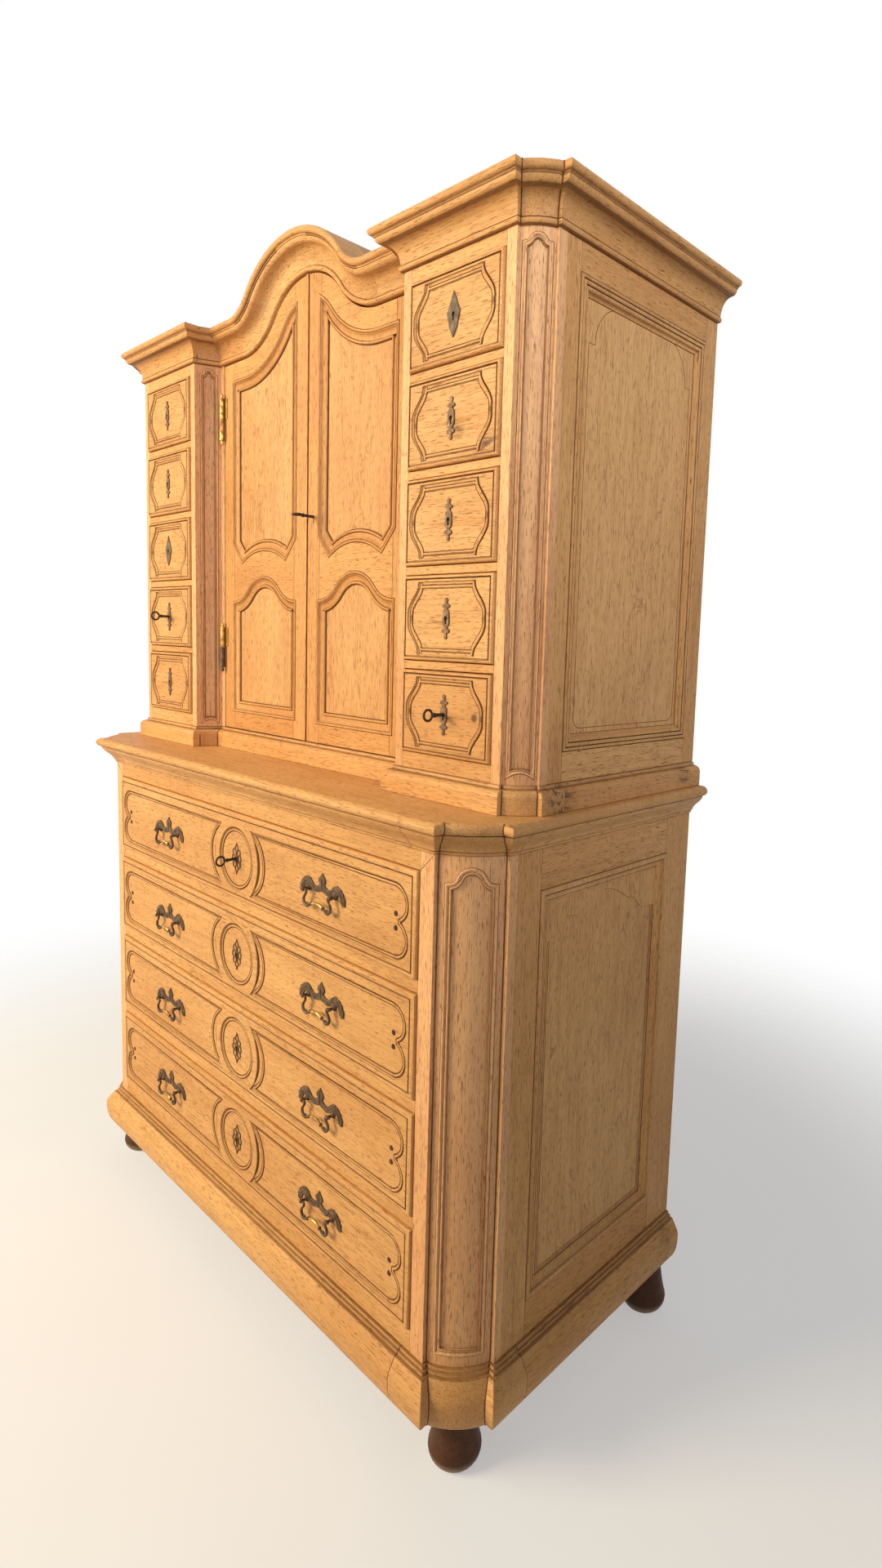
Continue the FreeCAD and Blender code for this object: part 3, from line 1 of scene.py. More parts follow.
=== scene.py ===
"""Two-piece oak buffet: carved oak, cast fittings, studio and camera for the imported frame."""

import json
import logging
import math
from dataclasses import dataclass, field, replace
from enum import Enum
from typing import Callable, Optional, Sequence, Union

import bmesh
import bpy
from mathutils import Matrix, Vector


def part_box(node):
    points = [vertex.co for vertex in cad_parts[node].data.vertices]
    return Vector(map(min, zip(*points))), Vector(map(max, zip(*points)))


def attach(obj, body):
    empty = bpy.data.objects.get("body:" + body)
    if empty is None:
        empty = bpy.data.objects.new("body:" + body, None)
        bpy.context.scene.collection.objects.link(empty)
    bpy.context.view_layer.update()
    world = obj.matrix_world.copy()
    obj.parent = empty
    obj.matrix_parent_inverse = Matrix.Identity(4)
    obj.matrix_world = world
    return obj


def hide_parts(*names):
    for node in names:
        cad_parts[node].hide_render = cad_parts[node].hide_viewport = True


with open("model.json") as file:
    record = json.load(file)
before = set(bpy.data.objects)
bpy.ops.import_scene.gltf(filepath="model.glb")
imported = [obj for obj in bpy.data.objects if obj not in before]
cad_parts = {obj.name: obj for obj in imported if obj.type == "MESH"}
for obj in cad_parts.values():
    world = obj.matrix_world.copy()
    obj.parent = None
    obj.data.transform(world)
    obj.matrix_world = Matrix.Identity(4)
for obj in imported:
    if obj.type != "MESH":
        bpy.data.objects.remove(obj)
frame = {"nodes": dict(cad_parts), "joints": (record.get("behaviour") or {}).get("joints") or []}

log = logging.getLogger("buffet")
MM = 0.001
Point = tuple[float, float]
Triple = tuple[float, float, float]
Colour = tuple[float, float, float, float]
# Place and radius
Stain = tuple[float, float, float, float]


# Shader tools
class Tone:
    """A shader value whose operators add Math nodes to its graph."""

    def __init__(self, graph: "Graph", socket: bpy.types.NodeSocket) -> None:
        """Wrap one output socket."""
        self.graph = graph
        self.socket = socket

    def _join(self, operation: str, first: object, second: object) -> "Tone":
        """Add one Math node.

        Args:
            operation: name of the Math node's operation.
            first: first operand, a Tone or a number.
            second: second operand, a Tone or a number.

        Returns:
            The node's result.
        """
        made = self.graph.node("ShaderNodeMath", {"operation": operation}, {0: first, 1: second})
        return Tone(self.graph, made.outputs[0])

    def __add__(self, other: object) -> "Tone":
        """Sum."""
        return self._join("ADD", self, other)

    def __radd__(self, other: object) -> "Tone":
        """Sum with the operands the other way round."""
        return self._join("ADD", other, self)

    def __sub__(self, other: object) -> "Tone":
        """Difference."""
        return self._join("SUBTRACT", self, other)

    def __rsub__(self, other: object) -> "Tone":
        """Difference with the operands the other way round."""
        return self._join("SUBTRACT", other, self)

    def __mul__(self, other: object) -> "Tone":
        """Product."""
        return self._join("MULTIPLY", self, other)

    def __rmul__(self, other: object) -> "Tone":
        """Product with the operands the other way round."""
        return self._join("MULTIPLY", other, self)

    def distance_to(self, level: float) -> "Tone":
        """Absolute difference from a level."""
        shifted = self - level
        return self._join("ABSOLUTE", shifted, 0.0)

    def either(self, other: object) -> "Tone":
        """The greater of two values."""
        return self._join("MAXIMUM", self, other)

    def pingpong(self, length: float) -> "Tone":
        """The value folded back and forth between 0 and a length."""
        return self._join("PINGPONG", self, length)

    def step(self, low: float, high: float) -> "Tone":
        """Smooth step from 0 at low to 1 at high, either way round.

        Args:
            low: value that gives 0.
            high: value that gives 1.

        Returns:
            The stepped value.
        """
        settings = {"interpolation_type": "SMOOTHSTEP", "clamp": True}
        inputs = {0: self, 1: low, 2: high, 3: 0.0, 4: 1.0}
        return Tone(self.graph, self.graph.node("ShaderNodeMapRange", settings, inputs).outputs[0])


class Graph:
    """A node tree and the nodes that are added to it."""

    def __init__(self, tree: bpy.types.NodeTree) -> None:
        """Keep the tree."""
        self.tree = tree

    def node(self, kind: str, settings: Optional[dict] = None,
             inputs: Optional[dict] = None) -> bpy.types.Node:
        """Add a node.

        Args:
            kind: the node's type name.
            settings: properties set first; "stops" fills a ramp.
            inputs: values, Tones or sockets by input name or number.

        Returns:
            The new node.
        """
        made = self.tree.nodes.new(kind)
        for key, value in (settings or {}).items():
            if key == "stops":
                ramp = made.color_ramp
                while len(ramp.elements) < len(value):
                    ramp.elements.new(0.5)
                for element, (place, colour) in zip(ramp.elements, value):
                    element.position = place
                    element.color = colour
            else:
                setattr(made, key, value)
        for key, value in (inputs or {}).items():
            self.plug(made.inputs[key], value)
        return made

    def plug(self, socket: bpy.types.NodeSocket, value: object) -> None:
        """Link or set one input.

        Args:
            socket: the input.
            value: a Tone or socket to link, or a value to set.
        """
        if isinstance(value, Tone):
            self.tree.links.new(value.socket, socket)
        elif isinstance(value, bpy.types.NodeSocket):
            self.tree.links.new(value, socket)
        else:
            socket.default_value = value

    def tone(self, kind: str, settings: Optional[dict] = None, inputs: Optional[dict] = None,
             output: Union[int, str] = 0) -> Tone:
        """Add a node and wrap one of its outputs."""
        return Tone(self, self.node(kind, settings, inputs).outputs[output])

    def mix(self, factor: object, first: object, second: object) -> bpy.types.NodeSocket:
        """Blend two colours by a factor."""
        settings = {"data_type": "RGBA", "blend_type": "MIX", "clamp_factor": True}
        return self.node("ShaderNodeMix", settings, {0: factor, 6: first, 7: second}).outputs[2]


class MaterialGraph(Graph):
    """The node tree of one new material."""

    def __init__(self, name: str) -> None:
        """Make a material with a Principled shader.

        Args:
            name: the material's name.
        """
        self.material = bpy.data.materials.new(name)
        self.material.use_nodes = True
        super().__init__(self.material.node_tree)
        self.shader = self.tree.nodes["Principled BSDF"]

    def finish(self, **sockets: object) -> bpy.types.Material:
        """Set the shader's sockets, named with underscores for spaces.

        Args:
            sockets: values, Tones or sockets by input name.

        Returns:
            The finished material.
        """
        for key, value in sockets.items():
            self.plug(self.shader.inputs[key.replace("_", " ")], value)
        return self.material


def srgb(red: int, green: int, blue: int) -> Colour:
    """A colour from screen values of 0 to 255.

    Args:
        red: red, 0 to 255.
        green: green, 0 to 255.
        blue: blue, 0 to 255.

    Returns:
        The colour as light, opaque.
    """
    def linear(value: int) -> float:
        """One channel as light."""
        share = value / 255
        return share / 12.92 if share <= 0.04045 else ((share + 0.055) / 1.055) ** 2.4
    return linear(red), linear(green), linear(blue), 1.0


class Grain(Enum):
    """Direction of the wood's fibres in the frame."""
    ALONG_X = 0
    ALONG_Y = 1
    ALONG_Z = 2


TURN_TO_X = {
    Grain.ALONG_X: (0.0, 0.0, 0.0),
    Grain.ALONG_Y: (0.0, 0.0, -math.pi / 2),
    Grain.ALONG_Z: (0.0, math.pi / 2, 0.0),
}


# Colour of bare old wood, and the step by which a board's seed moves its pattern
BARE = srgb(176, 152, 128)
SEED_STEP = (3.1, 1.7, 2.3)


@dataclass(frozen=True)
class OakFinish:
    """Old waxed oak: tones, pores, rays and knots, with painted shade in the wax's dark tone in its
    hollows, and dark lines at set heights for joints and painted shade.
    """
    name: str
    pale: Colour = srgb(222, 172, 112)
    mid: Colour = srgb(204, 150, 92)
    deep: Colour = srgb(158, 104, 58)
    pore: Colour = srgb(112, 66, 32)
    # Dark wax tone of knots and worm holes, also used for painted shade in hollows and along dark lines
    wax: Colour = srgb(74, 38, 16)
    band_strength: float = 0.36
    dirt_strength: float = 0.3
    mottle_strength: float = 0.14
    streak_strength: float = 0.36
    ray_strength: float = 0.3
    pore_strength: float = 0.7
    knot_strength: float = 0.8
    # How far and how strongly ambient occlusion paints shade into hollows and corners
    hollow_shade_reach: float = 9 * MM
    hollow_shade_strength: float = 0.9
    roughness: float = 0.52
    specular: float = 0.2
    # Heights of dark lines: joints between parts, and painted shade along steps of the mouldings
    joint_and_shade_lines: tuple[float, ...] = ()
    stains: tuple[Stain, ...] = ()
    bare_below: float = 0.0

    def material(self, grain: Grain) -> bpy.types.Material:
        """The finish with its fibres in one direction, made once.

        Args:
            grain: direction of the fibres.

        Returns:
            The material.
        """
        label = "{}_{}".format(self.name, grain.name.lower())
        found = bpy.data.materials.get(label)
        return found if found else self._make(label, grain)

    def _make(self, label: str, grain: Grain) -> bpy.types.Material:
        """Build the node tree.

        Args:
            label: the material's name.
            grain: direction of the fibres.

        Returns:
            The new material.
        """
        graph = MaterialGraph(label)
        place = graph.node("ShaderNodeTexCoord").outputs["Object"]
        seed = graph.node("ShaderNodeAttribute", {"attribute_name": "seed"}).outputs["Fac"]
        spread = graph.node("ShaderNodeVectorMath", {"operation": "SCALE"},
                            {0: SEED_STEP, "Scale": seed}).outputs[0]
        moved = graph.node("ShaderNodeVectorMath", {"operation": "ADD"},
                           {0: place, 1: spread}).outputs[0]
        turned = graph.node("ShaderNodeMapping", {},
                            {"Vector": moved, "Rotation": TURN_TO_X[grain]}).outputs[0]

        def noise(along: float, across: float, detail: float = 2.0, distortion: float = 0.0) -> Tone:
            """Noise drawn out along the fibres.

            Args:
                along: scale along the fibres.
                across: scale across them.
                detail: octaves of finer noise.
                distortion: how far it wavers.

            Returns:
                The noise.
            """
            scaled = graph.node("ShaderNodeMapping", {},
                                {"Vector": turned, "Scale": (along, across, across)})
            return graph.tone("ShaderNodeTexNoise", {}, {"Vector": scaled.outputs[0], "Scale": 1.0,
                                                         "Detail": detail, "Distortion": distortion})

        cloud = noise(1.6, 5.0)
        dirt = noise(2.4, 6.5, 3.0).step(0.54, 0.76)
        figure = noise(1.3, 26.0, 3.0, 0.6)
        bands = (figure * 9.0).pingpong(1.0)
        mottle = noise(15.0, 70.0, 3.0, 0.4).step(0.42, 0.7)
        streak = noise(9.0, 320.0, 3.0)
        pores = noise(60.0, 800.0, 1.0).step(0.58, 0.7)
        flecks = noise(7.0, 26.0, 2.0, 1.6).distance_to(0.5).step(0.022, 0.0)
        ray = flecks * noise(3.0, 9.0).step(0.46, 0.6)
        cell = graph.node("ShaderNodeTexVoronoi", {}, {"Vector": turned, "Scale": 3.4})
        pick = Tone(graph, cell.outputs["Color"]).step(0.62, 0.64)
        knot = Tone(graph, cell.outputs["Distance"]).step(0.034, 0.012) * pick
        halo = Tone(graph, cell.outputs["Distance"]).step(0.16, 0.02) * pick
        hole = graph.node("ShaderNodeTexVoronoi", {}, {"Vector": moved, "Scale": 21.0})
        worm = Tone(graph, hole.outputs["Distance"]).step(0.036, 0.02) * Tone(
            graph, hole.outputs["Color"]).step(0.72, 0.74)
        # Painted shade: ambient occlusion darkens hollows and corners towards the wax tone
        hollow = graph.tone("ShaderNodeAmbientOcclusion", {"samples": 8, "only_local": True},
                            {"Distance": self.hollow_shade_reach}, "AO").step(0.9, 0.42)

        colour = graph.mix(cloud.step(0.3, 0.72), self.pale, self.mid)
        colour = graph.mix(bands * self.band_strength, colour, self.mid)
        colour = graph.mix(dirt * self.dirt_strength, colour, self.deep)
        colour = graph.mix(mottle * self.mottle_strength, colour, self.deep)
        colour = graph.mix(streak.step(0.45, 0.75) * self.streak_strength, colour, self.deep)
        colour = graph.mix(ray * self.ray_strength, colour, self.deep)
        colour = graph.mix(pores * self.pore_strength, colour, self.pore)
        colour = graph.mix(halo * (0.3 * self.knot_strength), colour, self.deep)
        colour = graph.mix(knot * self.knot_strength + worm * 0.8, colour, self.wax)
        colour = graph.mix(hollow * self.hollow_shade_strength, colour, self.wax)
        height = graph.tone("ShaderNodeSeparateXYZ", {}, {0: place}, "Z")
        # Joints and painted shade: dark lines at set heights
        for level in self.joint_and_shade_lines:
            joint_and_shade_line = height.distance_to(level).step(1.6 * MM, 0.5 * MM) * (0.25 + cloud * 0.5)
            colour = graph.mix(joint_and_shade_line, colour, self.wax)
        blot = noise(26.0, 120.0, 3.0).step(0.46, 0.6)
        for x, y, z, radius in self.stains:
            far = graph.tone("ShaderNodeVectorMath", {"operation": "DISTANCE"},
                             {0: place, 1: (x, y, z)}, "Value")
            colour = graph.mix(far.step(radius, 0.2 * radius) * (0.2 + blot * 0.6), colour, self.wax)
        if self.bare_below:
            bare = height.step(self.bare_below, 0.4 * self.bare_below) * (0.3 + cloud * 0.6)
            colour = graph.mix(bare, colour, BARE)
        relief = streak * 0.5 - pores * 0.8 + ray * 0.3 - knot
        bump = graph.node("ShaderNodeBump", {},
                          {"Strength": 0.35, "Distance": 0.5 * MM, "Height": relief})
        rough = streak * 0.12 + pores * 0.15 + (self.roughness - 0.06)
        return graph.finish(Base_Color=colour, Roughness=rough, Normal=bump.outputs[0],
                            Specular_IOR_Level=self.specular)


@dataclass(frozen=True)
class MetalFinish:
    """Aged cast metal: patina in the hollows and bright rubbed places."""
    name: str
    bright: Colour
    patina: Colour
    roughness: float = 0.42
    rub: float = 0.5

    def material(self) -> bpy.types.Material:
        """The finish, made once."""
        found = bpy.data.materials.get(self.name)
        return found if found else self._make()

    def _make(self) -> bpy.types.Material:
        """Build the node tree.

        Returns:
            The new material.
        """
        graph = MaterialGraph(self.name)
        place = graph.node("ShaderNodeTexCoord").outputs["Object"]
        blotch = graph.tone("ShaderNodeTexNoise", {}, {"Vector": place, "Scale": 90.0, "Detail": 3.0})
        grit = graph.tone("ShaderNodeTexNoise", {}, {"Vector": place, "Scale": 900.0, "Detail": 2.0})
        hollow = graph.tone("ShaderNodeAmbientOcclusion", {"samples": 8}, {"Distance": 6 * MM}, "AO")
        worn = blotch.step(0.42, 0.68) * hollow.step(0.45, 0.95) * self.rub
        colour = graph.mix(worn, self.patina, self.bright)
        bump = graph.node("ShaderNodeBump", {}, {"Strength": 0.25, "Distance": 0.3 * MM,
                                                 "Height": grit + blotch * 0.6})
        rough = (1.0 - worn) * 0.25 + grit * 0.1 + (self.roughness - 0.1)
        return graph.finish(Base_Color=colour, Roughness=rough, Metallic=worn * 0.5 + 0.2,
                            Normal=bump.outputs[0])


OAK = OakFinish("oak")
PANEL_OAK = OakFinish("oak_panel", pale=srgb(226, 178, 120), mid=srgb(210, 158, 100), ray_strength=0.65,
                      knot_strength=0.35)
INNER_OAK = OakFinish("oak_inside", pale=srgb(196, 150, 98), mid=srgb(176, 128, 78), hollow_shade_strength=0.6)
FOOT_OAK = OakFinish("oak_foot", pale=srgb(92, 58, 34), mid=srgb(66, 38, 21), deep=srgb(42, 23, 12),
                     pore=srgb(30, 16, 8), wax=srgb(24, 12, 6), bare_below=24 * MM)
# Dark lines along beads, grooves and joints: old wax, and painted shade in the crevices
WAX_AND_SHADE = OakFinish("wax_and_shade_line", pale=srgb(142, 90, 48), mid=srgb(110, 66, 34), deep=srgb(76, 42, 20),
                pore=srgb(66, 36, 18))
SOFT_WAX_AND_SHADE = replace(WAX_AND_SHADE, name="soft_wax_and_shade_line", pale=srgb(184, 128, 74), mid=srgb(156, 102, 56),
                   deep=srgb(120, 74, 38))
DOOR_OAK = replace(OAK, name="oak_door", pale=srgb(216, 162, 100), mid=srgb(198, 140, 82))
DOOR_PANEL_OAK = replace(PANEL_OAK, name="oak_door_panel", pale=srgb(217, 168, 111),
                         mid=srgb(201, 148, 92))
POST_OAK = OakFinish("oak_post", pale=srgb(238, 188, 136), mid=srgb(224, 168, 118),
                     deep=srgb(176, 118, 74), hollow_shade_reach=4 * MM, hollow_shade_strength=0.5)
BRONZE = MetalFinish("dark_bronze", bright=srgb(138, 106, 68), patina=srgb(78, 56, 36), rub=0.5)
BRASS = MetalFinish("worn_brass", bright=srgb(226, 182, 92), patina=srgb(150, 104, 44),
                    roughness=0.32, rub=0.95)
STEEL = MetalFinish("grey_steel", bright=srgb(132, 116, 94), patina=srgb(98, 82, 64),
                    roughness=0.6, rub=0.6)
IRON = MetalFinish("iron", bright=srgb(150, 114, 76), patina=srgb(100, 72, 46), rub=0.5)
KEYHOLE_SHADE = MetalFinish("keyhole_shade", bright=srgb(40, 24, 14), patina=srgb(24, 13, 7),
                      roughness=0.9, rub=0.2)
KEY_IRON = MetalFinish("key_iron", bright=srgb(92, 66, 48), patina=srgb(46, 28, 18), rub=0.5)


# Mesh tools
def new_object(name: str, data: bpy.types.ID) -> bpy.types.Object:
    """Link a new object at the origin.

    Args:
        name: the object's name.
        data: its mesh, curve, camera or lamp.

    Returns:
        The object.
    """
    made = bpy.data.objects.new(name, data)
    bpy.context.scene.collection.objects.link(made)
    return made


def as_mesh(shape: bmesh.types.BMesh, name: str) -> bpy.types.Mesh:
    """Turn a bmesh into a mesh.

    Args:
        shape: the bmesh, which is freed.
        name: the mesh's name.

    Returns:
        The mesh.
    """
    mesh = bpy.data.meshes.new(name)
    shape.to_mesh(mesh)
    shape.free()
    return mesh


def evaluated_mesh(source: bpy.types.Object) -> bpy.types.Mesh:
    """A new mesh of an object as its modifiers or curve settings shape it."""
    graph = bpy.context.evaluated_depsgraph_get()
    return bpy.data.meshes.new_from_object(source.evaluated_get(graph))


def discard(*items: bpy.types.Object) -> None:
    """Remove helper objects."""
    for item in items:
        bpy.data.objects.remove(item)


@dataclass
class Stroke:
    """One line of a drawing: its points, and whether it closes, bends smoothly or varies in weight."""
    points: Sequence[Sequence[float]]
    closed: bool = False
    smooth: bool = False
    weights: Optional[Sequence[float]] = None


def evenly(start: float, end: float, steps: int) -> list[float]:
    """Numbers from a start to an end in even steps, both included."""
    return [start + (end - start) * step / steps for step in range(steps + 1)]


def following(items: Sequence) -> list:
    """The next item of each one round a closed loop."""
    return [*items[1:], items[0]]


def metres(points: Sequence[Point], flip: int = 1) -> list[Point]:
    """Points that are given in millimetres, their left and right swapped where flip is -1."""
    return [(flip * x * MM, z * MM) for x, z in points]


def oblong(low: Point, high: Point) -> list[Point]:
    """Corners of an oblong between its lowest and its highest one."""
    return [low, (high[0], low[1]), high, (low[0], high[1])]


def arc(centre: Point, radius: float, start: float, end: float, steps: int = 14) -> list[Point]:
    """Points along an arc.

    Args:
        centre: its centre.
        radius: its radius.
        start: angle of its first point in degrees.
        end: angle of its last point.
        steps: number of its straight pieces.

    Returns:
        The points.
    """
    angles = [math.radians(angle) for angle in evenly(start, end, steps)]
    return [(centre[0] + radius * math.cos(angle), centre[1] + radius * math.sin(angle))
            for angle in angles]


def segment(half: float, rise: float) -> tuple[float, float]:
    """Radius of an arc that rises over half its chord, and half its swing in degrees."""
    radius = (half ** 2 + rise ** 2) / (2 * rise)
    return radius, math.degrees(math.asin(half / radius))


def bow(start: Point, swell: float) -> list[Point]:
    """An upright arc from a start above the level line down to its image below, swelling to the right."""
    radius, swing = segment(start[1], swell - start[0])
    return arc((swell - radius, 0), radius, swing, -swing)


def flat_arch(middle: float, foot: float, half: float, rise: float, steps: int = 14) -> list[Point]:
    """An arc from left to right over a level chord of a half width."""
    radius, swing = segment(half, rise)
    return arc((middle, foot + rise - radius), radius, 90 + swing, 90 - swing, steps)


def mirrored(points: Sequence[Point]) -> list[Point]:
    """The same points on the other side of the upright centre line, in reverse order."""
    return [(-x, z) for x, z in reversed(points)]


def curve_mesh(strokes: Sequence[Stroke], depth: float, extrude: float = 0.0, filled: bool = False,
               offset: float = 0.0, rounds: int = 2) -> bpy.types.Mesh:
    """A mesh from drawn strokes: round rods, or a filled plate with softened edges.

    Args:
        strokes: the lines, in the XY plane or in space.
        depth: radius of the rods, or of a plate's edge round.
        extrude: half thickness of a plate without its edge rounds.
        filled: a plate where true, with inner strokes as holes.
        offset: moves a plate's outline outwards.
        rounds: steps in each round.

    Returns:
        The mesh, merged and facing outwards.
    """
    curve = bpy.data.curves.new("drawing", "CURVE")
    curve.dimensions = "2D" if filled else "3D"
    curve.fill_mode = "BOTH" if filled else "FULL"
    curve.bevel_depth = depth
    curve.bevel_resolution = rounds
    curve.extrude = extrude
    curve.offset = offset
    curve.use_fill_caps = not filled
    for stroke in strokes:
        spline = curve.splines.new("BEZIER" if stroke.smooth else "POLY")
        nodes = spline.bezier_points if stroke.smooth else spline.points
        nodes.add(len(stroke.points) - 1)
        for index, (node, point) in enumerate(zip(nodes, stroke.points)):
            place = (point[0], point[1], point[2] if len(point) > 2 else 0.0)
            node.co = place if stroke.smooth else (*place, 1.0)
            if stroke.smooth:
                node.handle_left_type = "AUTO"
                node.handle_right_type = "AUTO"
            if stroke.weights:
                node.radius = stroke.weights[index]
        spline.use_cyclic_u = stroke.closed
        spline.resolution_u = 8
    helper = new_object("drawing", curve)
    mesh = evaluated_mesh(helper)
    discard(helper)
    shape = bmesh.new()
    shape.from_mesh(mesh)
    bmesh.ops.remove_doubles(shape, verts=shape.verts, dist=1e-6)
    bmesh.ops.recalc_face_normals(shape, faces=shape.faces)
    shape.to_mesh(mesh)
    shape.free()
    return mesh


def spun(profile: Sequence[Point], steps: int = 32) -> bmesh.types.BMesh:
    """A turned solid about the Z axis from (radius, height) points that start and end on the axis.

    Args:
        profile: the points, in metres.
        steps: number of its sides.

    Returns:
        The solid, merged and facing outwards.
    """
    shape = bmesh.new()
    corners = [shape.verts.new((radius, 0.0, height)) for radius, height in profile]
    edges = [shape.edges.new(pair) for pair in zip(corners, corners[1:])]
    bmesh.ops.spin(shape, geom=corners + edges, cent=(0, 0, 0), axis=(0, 0, 1), angle=math.tau,
                   steps=steps, use_merge=True)
    bmesh.ops.remove_doubles(shape, verts=shape.verts, dist=1e-6)
    bmesh.ops.recalc_face_normals(shape, faces=shape.faces)
    return shape


def front_face(y: float) -> Matrix:
    """From a drawing's plane to an upright face that looks to the front."""
    return Matrix.Translation((0, y, 0)) @ Matrix.Rotation(math.pi / 2, 4, "X")


def upright_face(x: float, y: float, turn: float) -> Matrix:
    """From a drawing's plane to an upright face turned about Z, 0 looking to the front."""
    facing = Matrix.Rotation(turn, 4, "Z") @ Matrix.Rotation(math.pi / 2, 4, "X")
    return Matrix.Translation((x, y, 0)) @ facing


class Piece:
    """A visible piece: meshes joined in one object, with a seed and a material for each."""

    def __init__(self, name: str) -> None:
        """Start an empty piece.

        Args:
            name: the object's name.
        """
        self.name = name
        self.shape = bmesh.new()
        self.seed = self.shape.verts.layers.float.new("seed")
        self.materials: list[bpy.types.Material] = []

    def add(self, mesh: bpy.types.Mesh, material: bpy.types.Material, seed: float = 0.0,
            place: Optional[Matrix] = None) -> None:
        """Join one mesh to the piece.

        Args:
            mesh: the mesh, which is used up.
            material: its material.
            seed: shifts the wood's pattern.
            place: moves the mesh first.
        """
        if place:
            mesh.transform(place)
        if material not in self.materials:
            self.materials.append(material)
        index = self.materials.index(material)
        verts_before = len(self.shape.verts)
        faces_before = len(self.shape.faces)
        self.shape.from_mesh(mesh)
        self.shape.verts.ensure_lookup_table()
        self.shape.faces.ensure_lookup_table()
        for vert in self.shape.verts[verts_before:]:
            vert[self.seed] = seed
        for face in self.shape.faces[faces_before:]:
            face.material_index = index
            face.smooth = True
        bpy.data.meshes.remove(mesh)

    def add_shape(self, shape: bmesh.types.BMesh, material: bpy.types.Material, seed: float = 0.0,
                  place: Optional[Matrix] = None) -> None:
        """Join one bmesh to the piece and free it."""
        self.add(as_mesh(shape, "part"), material, seed, place)

    def finish(self, body: str, slot: str, replaced: Sequence[str] = (),
               sharp: float = 35.0) -> bpy.types.Object:
        """Make the object, tie it to its body and hide the nodes that it stands for.

        Args:
            body: the CAD body that it rides on.
            slot: the record's material slot; not used.
            replaced: CAD nodes that it replaces.
            sharp: edges bent by more degrees stay sharp.

        Returns:
            The object.
        """
        mesh = as_mesh(self.shape, self.name)
        for material in self.materials:
            mesh.materials.append(material)
        mesh.set_sharp_from_angle(angle=math.radians(sharp))
        made = new_object(self.name, mesh)
        evened = made.modifiers.new("even_normals", "WEIGHTED_NORMAL")
        evened.keep_sharp = True
        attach(made, body)
        if replaced:
            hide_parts(*replaced)
        log.info("%s: %d faces on %s", self.name, len(mesh.polygons), body)
        return made


def solid_groups(mesh: bpy.types.Mesh) -> list[list[int]]:
    """Faces of each closed solid in a node, which follow one another in the mesh.

    Args:
        mesh: a CAD node's mesh of loose triangles.

    Returns:
        Lists of face numbers, one for each solid.
    """
    keys = [tuple(round(value, 6) for value in vert.co) for vert in mesh.vertices]
    groups: list[list[int]] = [[]]
    waiting: dict[tuple, int] = {}
    for face in mesh.polygons:
        groups[-1].append(face.index)
        ring = [keys[number] for number in face.vertices]
        for start, end in zip(ring, following(ring)):
            if start == end:
                continue
            if waiting.get((end, start), 0):
                waiting[(end, start)] -= 1
                if not waiting[(end, start)]:
                    del waiting[(end, start)]
            else:
                waiting[(start, end)] = waiting.get((start, end), 0) + 1
        if not waiting:
            groups.append([])
    return [group for group in groups if group]


def solid_shape(mesh: bpy.types.Mesh, group: Sequence[int]) -> bmesh.types.BMesh:
    """One solid of a node, merged, with flat faces whole.

    Args:
        mesh: the node's mesh.
        group: numbers of the solid's faces.

    Returns:
        The solid.
    """
    shape = bmesh.new()
    shape.from_mesh(mesh)
    kept = set(group)
    others = [face for face in shape.faces if face.index not in kept]
    bmesh.ops.delete(shape, geom=others, context="FACES")
    bmesh.ops.remove_doubles(shape, verts=shape.verts, dist=2e-6)
    bmesh.ops.dissolve_limit(shape, angle_limit=math.radians(0.4), verts=shape.verts, edges=shape.edges)
    return shape


def ease_edges(shape: bmesh.types.BMesh, width: float, least: float = 48.0) -> None:
    """Round off the edges bent by more than least degrees.

    Args:
        shape: the shape, which is changed.
        width: width of the round.
        least: bend in degrees from which an edge counts.
    """
    sharp = [edge for edge in shape.edges
             if len(edge.link_faces) == 2 and edge.calc_face_angle(0.0) > math.radians(least)]
    bmesh.ops.bevel(shape, geom=sharp, offset=width, offset_type="OFFSET", segments=2, profile=0.5,
                    affect="EDGES", clamp_overlap=True, material=-1)


def extents(shape: bmesh.types.BMesh) -> tuple[Vector, Vector]:
    """Lowest and highest corner of a shape.

    Args:
        shape: the shape.

    Returns:
        The two corners.
    """
    spots = [vert.co for vert in shape.verts]
    low = Vector([min(spot[axis] for spot in spots) for axis in range(3)])
    high = Vector([max(spot[axis] for spot in spots) for axis in range(3)])
    return low, high


def seed_of(name: str, index: int) -> float:
    """A steady shift for one board's pattern."""
    letters = sum((place + 1) * ord(letter) for place, letter in enumerate(name))
    return (letters * 7 + index * 13) % 97 / 9.7


def joint_place(name: str) -> Vector:
    """A joint's place in the frame."""
    return Vector(next(joint["pos_m"] for joint in frame["joints"] if joint["name"] == name))


def hollow_corners(shape: bmesh.types.BMesh) -> list[bmesh.types.BMEdge]:
    """Edges that climb in the hollow corners of a moulding, where its lengths meet.

    Args:
        shape: a moulding with merged faces.

    Returns:
        The edges.
    """
    found = []
    for edge in shape.edges:
        climb = abs(edge.verts[0].co.z - edge.verts[1].co.z)
        if len(edge.link_faces) == 2 and not edge.is_convex and climb > 0.25 * edge.calc_length():
            if edge.calc_face_angle(0.0) > math.radians(25):
                found.append(edge)
    return found


